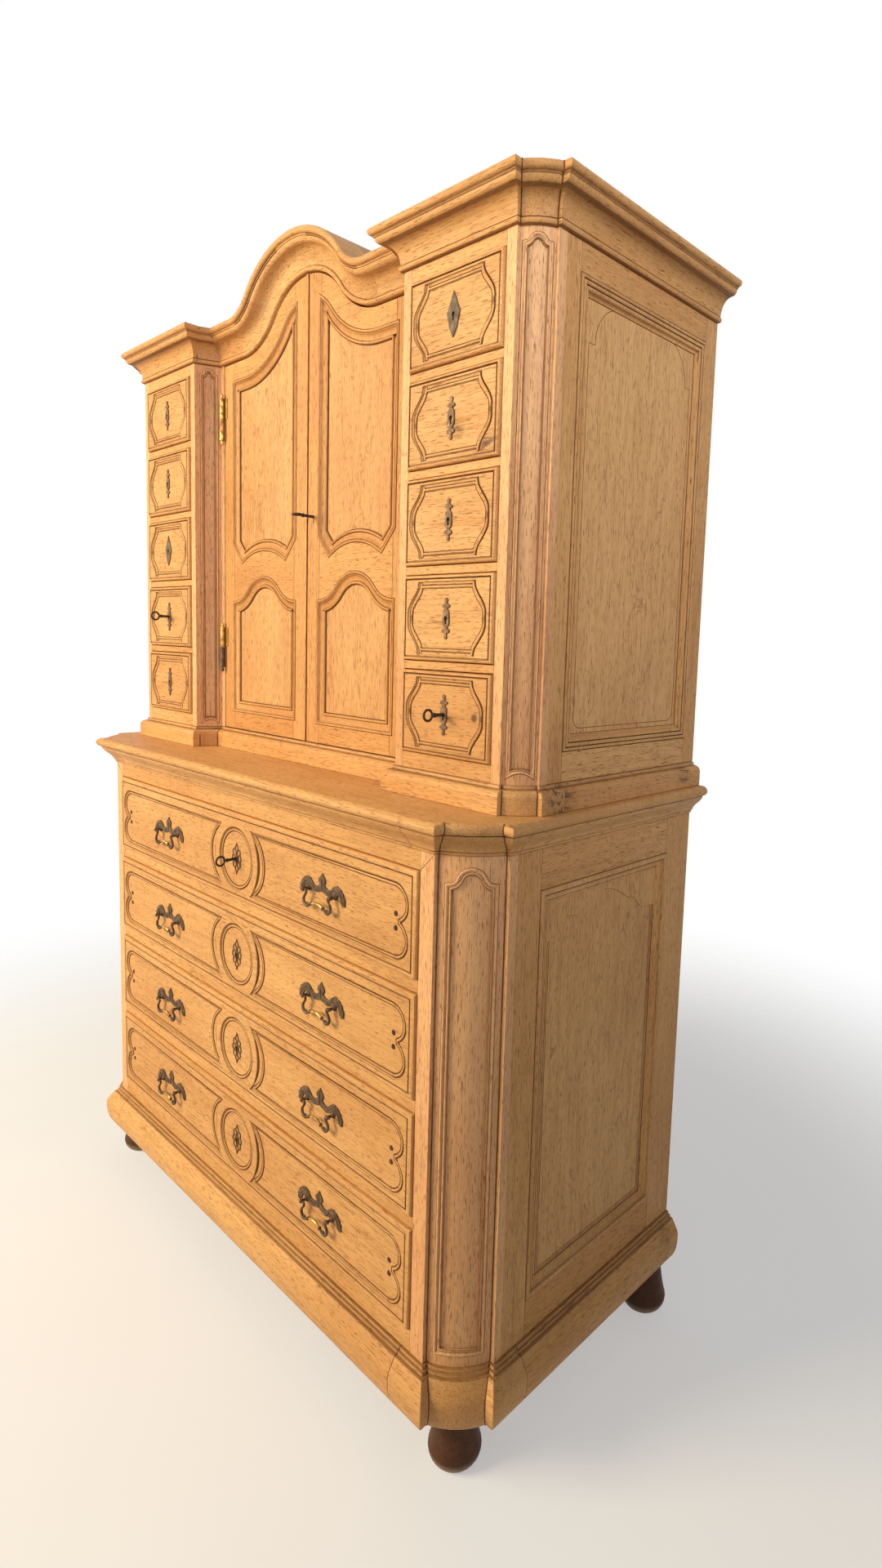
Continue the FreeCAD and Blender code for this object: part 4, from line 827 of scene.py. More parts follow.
@dataclass
class Boards:
    """A CAD node of boards, dressed as oak with eased edges."""
    node: str
    body: str
    finish: OakFinish = OAK
    ease: float = 1.4 * MM
    slot: str = "oak"
    carve: dict[int, Callable[[bmesh.types.BMesh], bmesh.types.BMesh]] = field(default_factory=dict)
    skipped: Sequence[int] = ()
    finishes: dict[int, OakFinish] = field(default_factory=dict)
    grain: Optional[Grain] = None
    sharp: float = 35.0
    joint_line: float = 0.0

    def build(self) -> Piece:
        """Dress every solid of the node in one piece, not yet finished.

        Returns:
            The piece, to which more can be added.
        """
        piece = Piece(self.node + "_dressed")
        mesh = frame["nodes"][self.node].data
        joints: list[Stroke] = []
        for index, group in enumerate(solid_groups(mesh)):
            if index in self.skipped:
                continue
            shape = solid_shape(mesh, group)
            if self.joint_line:
                joints += [Stroke([vert.co[:] for vert in edge.verts]) for edge in hollow_corners(shape)]
            low, high = extents(shape)
            size = high - low
            grain = self.grain or list(Grain)[max(range(3), key=lambda axis: size[axis])]
            if index in self.carve:
                shape = self.carve[index](shape)
            elif self.ease:
                ease_edges(shape, self.ease)
            finish = self.finishes.get(index, self.finish)
            piece.add_shape(shape, finish.material(grain), seed_of(self.node, index))
        if joints:
            piece.add(curve_mesh(joints, self.joint_line, rounds=0), WAX_AND_SHADE.material(Grain.ALONG_Z))
        return piece

    def dress(self) -> bpy.types.Object:
        """Build the piece and let it stand for the node."""
        return self.build().finish(self.body, self.slot, (self.node,), self.sharp)


# Carving
def inset_outline(points: Sequence[Point], inset: float) -> list[Point]:
    """A closed outline moved inwards by a distance, corner by corner.

    Args:
        points: the outline's corners.
        inset: the distance, outwards where negative.

    Returns:
        The moved corners.
    """
    area = sum(ax * by - bx * ay for (ax, ay), (bx, by) in zip(points, following(points)))
    side = 1.0 if area > 0 else -1.0
    moved = []
    for before, here, after in zip([points[-1], *points[:-1]], points, following(points)):
        first = (Vector(here) - Vector(before)).normalized()
        second = (Vector(after) - Vector(here)).normalized()
        normal = Vector((-(first.y + second.y), first.x + second.x)) * side
        if normal.length < 1e-6:
            normal = Vector((-first.y, first.x)) * side
        normal.normalize()
        slant = max(0.45, normal.dot(Vector((-first.y, first.x)) * side))
        moved.append((here[0] + normal.x * inset / slant, here[1] + normal.y * inset / slant))
    return moved


def moved_outline(points: Sequence[Point], x: float, z: float) -> list[Point]:
    """An outline shifted in its plane."""
    return [(px + x, pz + z) for px, pz in points]


@dataclass(frozen=True)
class Moulding:
    """A moulding round an outline: (inset, height) points in millimetres, closed through its foot."""
    profile: tuple[Point, ...]

    def shape(self, outline: Sequence[Point]) -> bmesh.types.BMesh:
        """The moulding in the drawing's plane, mitred at the corners.

        Args:
            outline: the closed outline.

        Returns:
            The moulding, facing outwards.
        """
        shape = bmesh.new()
        rings = []
        for inset, height in self.profile:
            spots = inset_outline(outline, inset * MM)
            rings.append([shape.verts.new((x, z, height * MM)) for x, z in spots])
        for first, second in zip(rings, following(rings)):
            for corners in zip(first, following(first), following(second), second):
                shape.faces.new(corners)
        bmesh.ops.recalc_face_normals(shape, faces=shape.faces)
        return shape


def bead_points(start: float, end: float, foot: float, rise: float, steps: int = 5) -> tuple[Point, ...]:
    """Points of a round bead between two insets.

    Args:
        start: inset of its first point.
        end: inset of its last point.
        foot: height of both.
        rise: height of its round above them.
        steps: number of its straight pieces.

    Returns:
        (inset, height) points.
    """
    middle = (start + end) / 2
    half = (end - start) / 2
    turns = evenly(0.0, math.pi, steps)
    return tuple((middle - half * math.cos(turn), foot + rise * math.sin(turn)) for turn in turns)


def cove_points(start: Point, end: Point, steps: int = 6) -> tuple[Point, ...]:
    """Points of a hollow that falls steeply from its start and ends flat.

    Args:
        start: its first (inset, height) point.
        end: its last point.
        steps: number of its straight pieces.

    Returns:
        (inset, height) points.
    """
    turns = evenly(0.0, math.pi / 2, steps)
    return tuple((start[0] + (end[0] - start[0]) * (1 - math.cos(turn)),
                  start[1] + (end[1] - start[1]) * math.sin(turn)) for turn in turns)


# Half width of most lines of dark wax and painted shade
WAX_AND_SHADE_LINE = 0.75 * MM


def wax_and_shade_mesh(outlines: Sequence[Sequence[Point]], radius: float = WAX_AND_SHADE_LINE,
             closed: bool = True) -> bpy.types.Mesh:
    """Fine dark lines along drawn outlines: old wax, and painted shade in the crevices of beads and
    grooves.
    """
    return curve_mesh([Stroke(outline, closed=closed) for outline in outlines], radius, rounds=0)


def wax_and_shade_lines(piece: Piece, outline: Sequence[Point], insets: Sequence[float], place: Matrix,
              radius: float = WAX_AND_SHADE_LINE, finish: OakFinish = WAX_AND_SHADE) -> None:
    """Add lines of dark wax and painted shade to a piece.

    Args:
        piece: the piece that gets them.
        outline: the closed outline that they follow.
        insets: distances inside the outline, in millimetres.
        place: from the drawing's plane to the face.
        radius: half width of a line.
        finish: colour of the lines.
    """
    lines = [inset_outline(outline, inset * MM) for inset in insets]
    piece.add(wax_and_shade_mesh(lines, radius), finish.material(Grain.ALONG_X), 0.0, place)


def curved_stretches(outline: Sequence[Point], straight: float = 60 * MM) -> list[Stroke]:
    """The stretches of a closed outline between its long straight runs.

    Args:
        outline: the outline.
        straight: length from which a run counts as long.

    Returns:
        The stretches, or the whole outline where no run is long.
    """
    count = len(outline)
    ends = [index for index, (here, after) in enumerate(zip(outline, following(outline)))
            if math.dist(here, after) > straight]
    if not ends:
        return [Stroke(outline, closed=True)]
    return [Stroke([outline[index % count] for index in range(first + 1, last + 1)])
            for first, last in zip(ends, [*ends[1:], ends[0] + count])]


DOOR_MOULDING = Moulding(((-7.6, -0.6),) + bead_points(-7.4, -3.0, 0.1, 1.7) + ((-1.0, 0.15),)
                         + cove_points((0.0, 0.1), (11.0, -5.4)) + bead_points(11.6, 17.2, -6.0, 3.4)
                         + ((17.6, -7.6), (-7.6, -7.6)))
SIDE_MOULDING = Moulding(((0.0, -2.0), (0.0, 0.2)) + bead_points(0.6, 9.6, 0.4, 2.6) + ((10.4, 0.2),)
                         + cove_points((11.0, 0.8), (21.5, -5.2)) + bead_points(22.0, 26.0, -6.4, 2.2)
                         + ((26.4, -8.6), (0.0, -8.6)))
UPPER_SIDE_MOULDING = Moulding(((0.0, -2.0), (0.0, 0.2)) + bead_points(0.5, 5.8, 0.4, 2.2)
                               + ((6.3, -0.4),) + bead_points(6.8, 13.2, -0.2, 2.4)
                               + ((13.7, -1.2),) + bead_points(14.2, 19.8, -1.0, 1.8)
                               + cove_points((20.4, -1.2), (26.0, -6.6))
                               + ((26.4, -8.6), (0.0, -8.6)))
# Insets of the lines of dark wax and painted shade along these mouldings in millimetres; the last one of
# each side lies on its panel
DOOR_LINES = (-7.8, -1.8)
DOOR_PANEL_LINES = (11.3, 17.5)
SIDE_LINES = (-0.4, 10.4, 26.2)
UPPER_SIDE_LINES = (-0.4, 6.3, 13.7, 26.2)
PILASTER_MOULDING = Moulding(((-6.4, -0.8),) + bead_points(-6.2, -1.8, 0.0, 1.7) + ((-0.6, -0.2),)
                             + bead_points(0.0, 4.6, -2.2, 2.3) + ((5.0, -3.4), (-6.4, -3.4)))
FINE_PILASTER_MOULDING = Moulding(((-4.4, -0.8),) + bead_points(-4.2, -1.0, 0.0, 1.4) + ((-0.4, -0.2),)
                                  + bead_points(0.0, 3.4, -2.2, 2.0) + ((3.8, -3.4), (-4.4, -3.4)))


@dataclass
class SunkField:
    """A field carved below a face: a hollow edge outside a low bead, flanked by lines of dark wax and
    painted shade that are boldest along its curves.
    """
    outline: Sequence[Point]
    bead_line: Sequence[Point]
    bold_line: Sequence[Point]
    depth: float = 3.0 * MM
    edge: float = 3.6 * MM
    bead: float = 2.6 * MM
    sink: float = 0.8 * MM
    wax: float = 1.05 * MM
    wax_and_shade_gap: float = 0.5 * MM
    wax_and_shade_lift: float = 0.25 * MM
    clearance: float = 4 * MM

    def trim(self, piece: Piece, face: float, seed: float) -> None:
        """Add the bead and its lines of dark wax and painted shade to a drawer.

        Args:
            piece: the drawer's piece.
            face: the front face in Y.
            seed: shifts the wood's pattern.
        """
        floor = face + self.depth
        beads = [Stroke(self.bead_line, closed=True)] + curved_stretches(self.bold_line)
        piece.add(curve_mesh(beads, self.bead), OAK.material(Grain.ALONG_X), seed,
                  front_face(floor + self.sink))
        # Painted shade: dark lines along both flanks of the bead, boldest along its curves
        gap = self.bead + self.wax_and_shade_gap
        place = front_face(floor - self.wax_and_shade_lift)
        wax_and_shade_lines(piece, self.bead_line, (-gap / MM, gap / MM), place, 0.6 * self.wax, SOFT_WAX_AND_SHADE)
        bold = []
        for inset in (-gap, gap):
            bold += curved_stretches(inset_outline(self.bold_line, inset))
        piece.add(curve_mesh(bold, self.wax, rounds=0), WAX_AND_SHADE.material(Grain.ALONG_X), 0.0, place)

    def cutter(self, place: Matrix) -> bpy.types.Mesh:
        """The solid that carves the field out of a face.

        Args:
            place: from the drawing's plane to the face.

        Returns:
            The solid, which stands out of the face by the clearance.
        """
        plate = curve_mesh([Stroke(self.outline, closed=True)], self.edge, self.clearance, True, -self.edge)
        lift = (self.clearance + self.edge) * self.depth / self.edge - self.depth
        plate.transform(Matrix.Diagonal((1, 1, self.depth / self.edge, 1)))
        plate.transform(place @ Matrix.Translation((0, 0, lift)))
        return plate


# Groove round a drawer front, how deep its line of dark wax and painted shade lies, and the line's half
# width along it and at its ends
LIP_GROOVE = Moulding(((-1.5, 1.0), (-1.1, -1.2), (-0.1, -2.0), (1.3, -1.2), (2.3, 1.0)))
LIP_WAX_AND_SHADE_DEPTH = 1.1 * MM
LIP_WAX_AND_SHADE = 0.9 * MM
LIP_END_WAX_AND_SHADE = 1.2 * MM


def lip_groove(shape: bmesh.types.BMesh, place: Matrix, lip: float) -> bpy.types.Mesh:
    """The cutter for a groove that follows the edge of a drawer front.

    Args:
        shape: the front's board.
        place: from the drawing's plane to the face.
        lip: width of the lip outside the groove.

    Returns:
        The cutter.
    """
    low, high = extents(shape)
    outline = oblong((low.x, low.z), (high.x, high.z))
    mesh = as_mesh(LIP_GROOVE.shape(inset_outline(outline, lip)), "groove")
    mesh.transform(place)
    return mesh


def lip_line(piece: Piece, node: str, face: float, lip: float) -> None:
    """Dark wax and painted shade in the groove round a drawer front, thickest at the two ends.

    Args:
        piece: the drawer's piece.
        node: the drawer's node, whose box the groove follows.
        face: the front face in Y.
        lip: width of the lip outside the groove.
    """
    low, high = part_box(node)
    outline = oblong((low[0], low[2]), (high[0], high[2]))
    place = front_face(face + LIP_WAX_AND_SHADE_DEPTH)
    wax_and_shade_lines(piece, outline, (lip / MM,), place, LIP_WAX_AND_SHADE, SOFT_WAX_AND_SHADE)
    line = inset_outline(outline, lip)
    ends = [Stroke(line[1:3]), Stroke([line[3], line[0]])]
    piece.add(curve_mesh(ends, LIP_END_WAX_AND_SHADE, rounds=0), WAX_AND_SHADE.material(Grain.ALONG_Z), 0.0, place)


def carve_fields(shape: bmesh.types.BMesh, fields: Sequence[SunkField], place: Matrix,
                 lip: float) -> bmesh.types.BMesh:
    """Cut sunk fields and the lip's groove into a drawer front.

    Args:
        shape: the board, which is used up.
        fields: fields to carve.
        place: from the drawing's plane to the face.
        lip: width of the lip outside the groove.

    Returns:
        The carved board.
    """
    cutting = [item.cutter(place) for item in fields] + [lip_groove(shape, place, lip)]
    board = new_object("board", as_mesh(shape, "board"))
    cutters = []
    for tool in cutting:
        cutter = new_object("cutter", tool)
        cut = board.modifiers.new("carve", "BOOLEAN")
        cut.object = cutter
        cut.operation = "DIFFERENCE"
        cut.solver = "EXACT"
        cutters.append(cutter)
    carved = bmesh.new()
    result = evaluated_mesh(board)
    carved.from_mesh(result)
    bpy.data.meshes.remove(result)
    discard(board, *cutters)
    return carved


# Fittings
def plate_mesh(outlines: Sequence[Sequence[Point]], edge: float, half: float) -> bpy.types.Mesh:
    """A thin plate with rounded edges within its outline; further outlines are holes."""
    strokes = [Stroke(outline, closed=True) for outline in outlines]
    return curve_mesh(strokes, edge, half, True, -edge, 1)


@dataclass
class Handle:
    """Cast backplate with leafy wings, two pivot posts and a swinging bail."""
    row: int
    side: str
    span: float = 40 * MM
    thick: float = 1.4 * MM
    rib_lift: float = 2.7 * MM
    post_lift: float = 2.4 * MM

    def pivot(self) -> Vector:
        """The bail's pivot from its joint."""
        return joint_place("bail_{}_{}_pivot".format(self.side, self.row))

    def plate_outline(self) -> list[Point]:
        """Right half of the backplate.

        Returns:
            Points from the finial's tip round the wing to the middle below.
        """
        half = [(0, 34.6), (3.2, 30.4), (7.6, 26), (10.6, 21.4), (9.8, 17.6), (6.4, 15), (8.6, 12),
                (12.6, 9.6), (17, 8), (21.4, 8), (25.6, 9.2), (29, 12.6), (33, 16.6), (38, 19.6),
                (44, 20.8), (46.6, 20), (46.8, 18.2), (52, 18.4), (56.5, 15.6), (56.6, 13.6),
                (61.5, 11.6), (64, 7.6), (63.2, 5.8), (67, 2.6), (68.4, -2.4), (66.6, -3.2), (68, -7.2),
                (66, -12), (63.4, -9.6), (61.4, -12.8), (59, -8.6), (56.8, -9.6), (55.4, -3.6), (52.6, 2),
                (49, 5.4), (46.4, 4.4), (45.4, 1), (44.8, -3), (42, -5.6), (38, -5.6), (35, -3.2),
                (33.6, 0.4), (30.4, 1.4), (26.6, -1.8), (21, -3.6), (14, -3), (8, -0.6), (4, 0), (0, 1.6)]
        return metres(half)

    def add_plate(self, piece: Piece, face: float) -> None:
        """Backplate, its scrolled ribs and the posts on the drawer's field.

        Args:
            piece: the drawer's fittings.
            face: the field in Y.
        """
        half = self.plate_outline()
        outline = half + mirrored(half[1:-1])
        pivot = self.pivot()
        middle = Matrix.Translation((pivot.x, pivot.z, 0))
        plate = plate_mesh([outline], 0.7 * MM, 0.6 * MM)
        piece.add(plate, BRONZE.material(), 0.0, front_face(face - self.thick) @ middle)
        ribs = [Stroke(metres([(0, 4), (0, 18), (0, 31)]), smooth=True, weights=(1, 1.1, 0.3))]
        scroll = [(12, 3), (21, 0.8), (28, 5), (34, 11.6), (43, 14.2), (51, 10.6), (57, 3.4), (61, -4),
                  (63, -10)]
        weights = (0.6, 0.9, 0.8, 1.1, 1.3, 1.2, 1.0, 0.8, 0.4)
        for end in (-1, 1):
            ribs.append(Stroke(metres(scroll, end), smooth=True, weights=weights))
        piece.add(curve_mesh(ribs, 1.2 * MM), BRONZE.material(), 0.0,
                  front_face(face - self.rib_lift) @ middle)
        post = [(0, 0), (4.6, 0), (4.8, 1.2), (3.0, 2.6), (2.6, 6), (3.0, 8), (3.7, 10.4), (3.4, 12.6),
                (2.2, 14.2), (0, 14.6)]
        for end in (-1, 1):
            spot = Matrix.Translation((pivot.x + end * self.span, pivot.z, 0))
            piece.add_shape(spun(metres(post), 20), BRONZE.material(), 0.0,
                            front_face(face - self.post_lift) @ spot)

    def build_bail(self) -> None:
        """Bail with S-shaped arms, curled feet, collars and an arched brass grip."""
        name = "bail_{}_{}".format(self.side, self.row)
        piece = Piece(name + "_cast")
        place = Matrix.Translation(self.pivot()) @ Matrix.Rotation(math.pi / 2, 4, "X")
        right = [(45, 0), (38, 0), (34, -0.6), (32.8, -4.4), (35.4, -9.4), (39.4, -15), (40.2, -21.4),
                 (36.4, -27.2), (29.8, -29.2), (24, -26.8), (19, -23.6)]
        weights = (0.7, 0.7, 0.95, 1.0, 0.86, 1.0, 1.05, 1.12, 1.1, 0.9, 0.75)
        curl = [(29.4 + 3.0 * math.cos(turn), -25.8 + 2.8 * math.sin(turn))
                for turn in (-1.6, -0.4, 0.9, 2.2, 3.4)]
        collar = [(0, -2.0), (2.9, -1.4), (3.7, 0), (2.9, 1.4), (0, 2.0)]
        for end in (-1, 1):
            arm = Stroke(metres(right, end), smooth=True, weights=weights)
            piece.add(curve_mesh([arm], 2.6 * MM, rounds=3), BRONZE.material(), 0.0, place)
            foot = Stroke(metres(curl, end), smooth=True, weights=(1, 0.9, 0.8, 0.7, 0.5))
            piece.add(curve_mesh([foot], 1.5 * MM), BRONZE.material(), 0.0, place)
            level = Matrix.Rotation(math.pi / 2, 4, "Y")
            spot = Matrix.Translation((end * 18.4 * MM, -23.4 * MM, 0)) @ level
            piece.add_shape(spun(metres(collar), 18), BRONZE.material(), 0.0, place @ spot)
        bar = metres([(-18, -23.4), (-10, -20.2), (0, -18.8), (10, -20.2), (18, -23.4)])
        grip = Stroke(bar, smooth=True, weights=(0.8, 1.1, 1.3, 1.1, 0.8))
        piece.add(curve_mesh([grip], 2.2 * MM, rounds=3), BRASS.material(), 0.0, place)
        piece.finish(name, "bronze", (name,), 60.0)


class EscutcheonKind(Enum):
    """Keyhole plates seen on the drawers."""
    LACED = "laced"
    CROSS = "cross"
    LOZENGE = "lozenge"


@dataclass
class Escutcheon:
    """A keyhole plate at a place on a front."""
    kind: EscutcheonKind
    x: float
    face: float
    z: float

    def keyhole(self) -> list[Point]:
        """Outline of the keyhole: a round over a slot."""
        head = arc((0, 0), 3.6, -60, 240, 12)
        return metres([(1.7, -9.4), (1.7, -3.0)] + head + [(-1.7, -3.0), (-1.7, -9.4)])

    def place(self, lift: float) -> Matrix:
        """From the drawing to the front, raised by a lift."""
        return front_face(self.face - lift) @ Matrix.Translation((self.x, self.z, 0))

    def plate(self, piece: Piece, half: Sequence[Point], metal: MetalFinish) -> None:
        """A pierced plate over a dark disc of painted shade in its keyhole.

        Args:
            piece: the piece that gets it.
            half: right half of its outline in millimetres.
            metal: the plate's finish.
        """
        right = metres(half)
        outline = right + mirrored([spot for spot in right if spot[0] > 0])
        keyhole = self.keyhole()
        piece.add(plate_mesh([outline, keyhole], 0.5 * MM, 0.7 * MM), metal.material(), 0.0,
                  self.place(1.2 * MM))
        # Painted shade: a dark disc fills the keyhole behind the plate
        hole = curve_mesh([Stroke(keyhole, closed=True)], 0.2 * MM, 0.2 * MM, True, 0.3 * MM, 1)
        piece.add(hole, KEYHOLE_SHADE.material(), 0.0, self.place(0.2 * MM))

    def add(self, piece: Piece) -> None:
        """Add the plate of this kind.

        Args:
            piece: the piece that gets it.
        """
        if self.kind is EscutcheonKind.LOZENGE:
            half = [(0, 35), (4.5, 25), (9, 14), (14.5, 2), (10.5, -9), (8.6, -20), (4, -28), (0, -35)]
            self.plate(piece, half, STEEL)
        elif self.kind is EscutcheonKind.CROSS:
            half = [(0, 34), (2.6, 32.6), (3.4, 30), (2.4, 27.4), (2.0, 25), (4.6, 23.6), (7.6, 22),
                    (8.4, 19.4), (6.6, 17.6), (3.4, 17.4), (3.2, 15), (6.2, 12), (7.4, 7), (7.2, 0),
                    (7.4, -7), (6.0, -11.6), (3.2, -14), (3.6, -16.4), (7.0, -17.4), (8.6, -19.6),
                    (7.4, -22.6), (4.4, -23.4), (2.2, -24.6), (2.2, -27.4), (3.2, -30), (2.4, -32.6),
                    (0, -34)]
            self.plate(piece, half, IRON)
        else:
            self.laced(piece)

    def laced(self, piece: Piece) -> None:
        """Interlaced cast loops between two spikes, over a small keyhole plate.

        Args:
            piece: the piece that gets them.
        """
        loops = [(0, 20, 5.2, 6.6), (0, -20, 5.2, 6.6), (7.8, 12.6, 5.6, 6.8), (-7.8, 12.6, 5.6, 6.8),
                 (7.8, -12.6, 5.6, 6.8), (-7.8, -12.6, 5.6, 6.8), (11.2, 0, 5.0, 7.6),
                 (-11.2, 0, 5.0, 7.6)]
        strokes = []
        for x, z, wide, tall in loops:
            ring = [(x + wide * math.cos(turn), z + tall * math.sin(turn))
                    for turn in evenly(0.0, math.tau, 14)[:-1]]
            strokes.append(Stroke(metres(ring), closed=True, smooth=True))
        for end in (-1, 1):
            spike = metres([(0, end * 25), (0, end * 29), (0, end * 33)])
            strokes.append(Stroke(spike, smooth=True, weights=(1.4, 1.8, 0.4)))
        piece.add(curve_mesh(strokes, 0.9 * MM), IRON.material(), 0.0, self.place(1.1 * MM))
        self.plate(piece, [(0, 11), (3.4, 8.4), (4.4, 3), (3.8, -2), (3.0, -9), (0, -11)], IRON)


@dataclass
class Key:
    """A key standing in its lock: shank with turned collars and a ring bow."""
    node: str
    bow: float = 9.0 * MM
    wire: float = 2.2 * MM

    def build(self) -> None:
        """Model the key over its node."""
        low, high = [Vector(corner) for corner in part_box(self.node)]
        x = (low.x + high.x) / 2
        z = (low.z + high.z) / 2
        piece = Piece(self.node + "_forged")
        centre = low.y + self.bow + self.wire
        level = high.x - low.x > high.z - low.z
        ring = [(0.0, centre + self.bow * math.cos(turn), self.bow * math.sin(turn))
                for turn in evenly(0.0, math.tau, 20)[:-1]]
        place = Matrix.Translation((x, 0, z)) @ Matrix.Rotation(math.pi / 2 if level else 0.0, 4, "Y")
        piece.add(curve_mesh([Stroke(ring, closed=True, smooth=True)], self.wire * 0.96, rounds=3),
                  KEY_IRON.material(), 0.0, place)
        neck = centre + self.bow
        length = high.y - neck
        profile = [(0, -0.4), (3.0, -0.2), (3.4, 1.4), (2.4, 2.6), (2.4, 3.4), (4.3, 4.6), (4.3, 6.0),
                   (2.6, 7.2), (2.9, 9.4), (2.9, length / MM - 0.4), (2.4, length / MM),
                   (0, length / MM)]
        spot = Matrix.Translation((x, neck, z)) @ Matrix.Rotation(-math.pi / 2, 4, "X")
        piece.add_shape(spun(metres(profile), 20), KEY_IRON.material(), 0.0, spot)
        piece.finish(self.node, "steel", (self.node,), 50.0)


# Drawers
@dataclass
class LongDrawer:
    """A long drawer: two lobed fields, a ringed medallion, handles and a laced escutcheon."""
    row: int
    half_height: float = 60 * MM
    ring: float = 58.5 * MM
    bracket_end: float = 66 * MM
    bracket: float = 102 * MM
    lobe: float = 30 * MM
    end: float = 495 * MM
    margin: float = 6.5 * MM
    bracket_width: float = 20 * MM
    lip: float = 9.9 * MM
    shade: float = 1.3 * MM
    shade_gap: float = 3 * MM
    shade_lift: float = 0.8 * MM
    eye_out: float = 2 * MM
    eye_rise: float = 12 * MM
    lock: Triple = (74 * MM, 12.6 * MM, 56 * MM)
    lock_depth: float = (24 + 6.5) * MM

    def bracket_line(self, out: float, grow: float) -> list[Point]:
        """The right bracket moved towards the medallion, its ends raised."""
        return bow((self.bracket_end - 0.6 * out, self.half_height + grow), self.bracket - out)

    def side_outline(self, grow: float) -> list[Point]:
        """The right field between its bracket and its lobes.

        Args:
            grow: how far the outline lies outside the bead's line.

        Returns:
            The closed outline about the keyhole.
        """
        bracket = self.bracket_line(self.bracket_width if grow else 0.0, grow)
        meet = math.degrees(math.asin(self.lobe / (self.lobe + grow)))
        turn = min(66.0, meet - 2.0)
        radius = self.lobe + grow
        lobes = arc((self.end, -self.lobe), radius, -90, turn)
        lobes += arc((self.end, self.lobe), radius, -turn, 90)
        return bracket + lobes

    def fields(self, height: float) -> list[SunkField]:
        """Sunk fields of the front.

        Args:
            height: the keyhole's height.

        Returns:
            The right field, the left one and the medallion.
        """
        pairs = []
        for grow in (self.margin, 0.0):
            right = self.side_outline(grow)
            medallion = arc((0, 0), self.ring + grow, 0, 352, 44)
            outlines = (right, mirrored(right), medallion)
            pairs.append([moved_outline(outline, 0, height) for outline in outlines])
        return [SunkField(outline, line, line) for outline, line in zip(*pairs)]

    def add_eyes(self, piece: Piece, floor: float, height: float) -> None:
        """Dark round studs in the lobes.

        Args:
            piece: the drawer's piece.
            floor: the fields' floor in Y.
            height: the keyhole's height.
        """
        stud = metres([(0, -1), (5.2, -0.6), (4.0, 1.0), (0, 1.6)])
        for side in (-1, 1):
            for end in (-1, 1):
                x = side * (self.end + self.eye_out)
                spot = Matrix.Translation((x, height + end * self.eye_rise, 0))
                piece.add_shape(spun(stud, 14), FOOT_OAK.material(Grain.ALONG_Z), 3.0,
                                front_face(floor) @ spot)

    def add_lock(self, piece: Piece, face: float, height: float) -> None:
        """Lock box behind the front.

        Args:
            piece: the drawer's fittings.
            face: the front face in Y.
            height: the keyhole's height.
        """
        shape = bmesh.new()
        bmesh.ops.create_cube(shape, size=1.0)
        bmesh.ops.scale(shape, verts=shape.verts, vec=self.lock)
        bmesh.ops.translate(shape, verts=shape.verts, vec=(0, face + self.lock_depth, height))
        ease_edges(shape, 1.5 * MM)
        piece.add_shape(shape, IRON.material())

    def build(self) -> None:
        """Dress the drawer with its fittings and bails."""
        node = "long_drawer_{}".format(self.row)
        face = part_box(node)[0][1]
        handles = [Handle(self.row, side) for side in ("left", "right")]
        height = handles[0].pivot().z
        fields = self.fields(height)
        floor = face + fields[0].depth
        place = front_face(face)
        boards = Boards(node, node, finishes={index: INNER_OAK for index in range(1, 5)},
                        carve={0: lambda shape: carve_fields(shape, fields, place, self.lip)})
        piece = boards.build()
        for item in fields:
            item.trim(piece, face, seed_of(node, 0))
        near = moved_outline(self.bracket_line(self.bracket_width - self.shade_gap, 0.0), 0, height)
        piece.add(wax_and_shade_mesh([near, mirrored(near)], self.shade, False), WAX_AND_SHADE.material(Grain.ALONG_X), 0.0,
                  front_face(floor - self.shade_lift))
        lip_line(piece, node, face, self.lip)
        self.add_eyes(piece, floor, height)
        piece.finish(node, "oak", (node,))
        metal = Piece(node + "_fittings_cast")
        for handle in handles:
            handle.add_plate(metal, floor)
            handle.build_bail()
        Escutcheon(EscutcheonKind.LACED, 0.0, floor, height).add(metal)
        self.add_lock(metal, face, height)
        metal.finish(node, "bronze", (node + "_fittings",), 50.0)


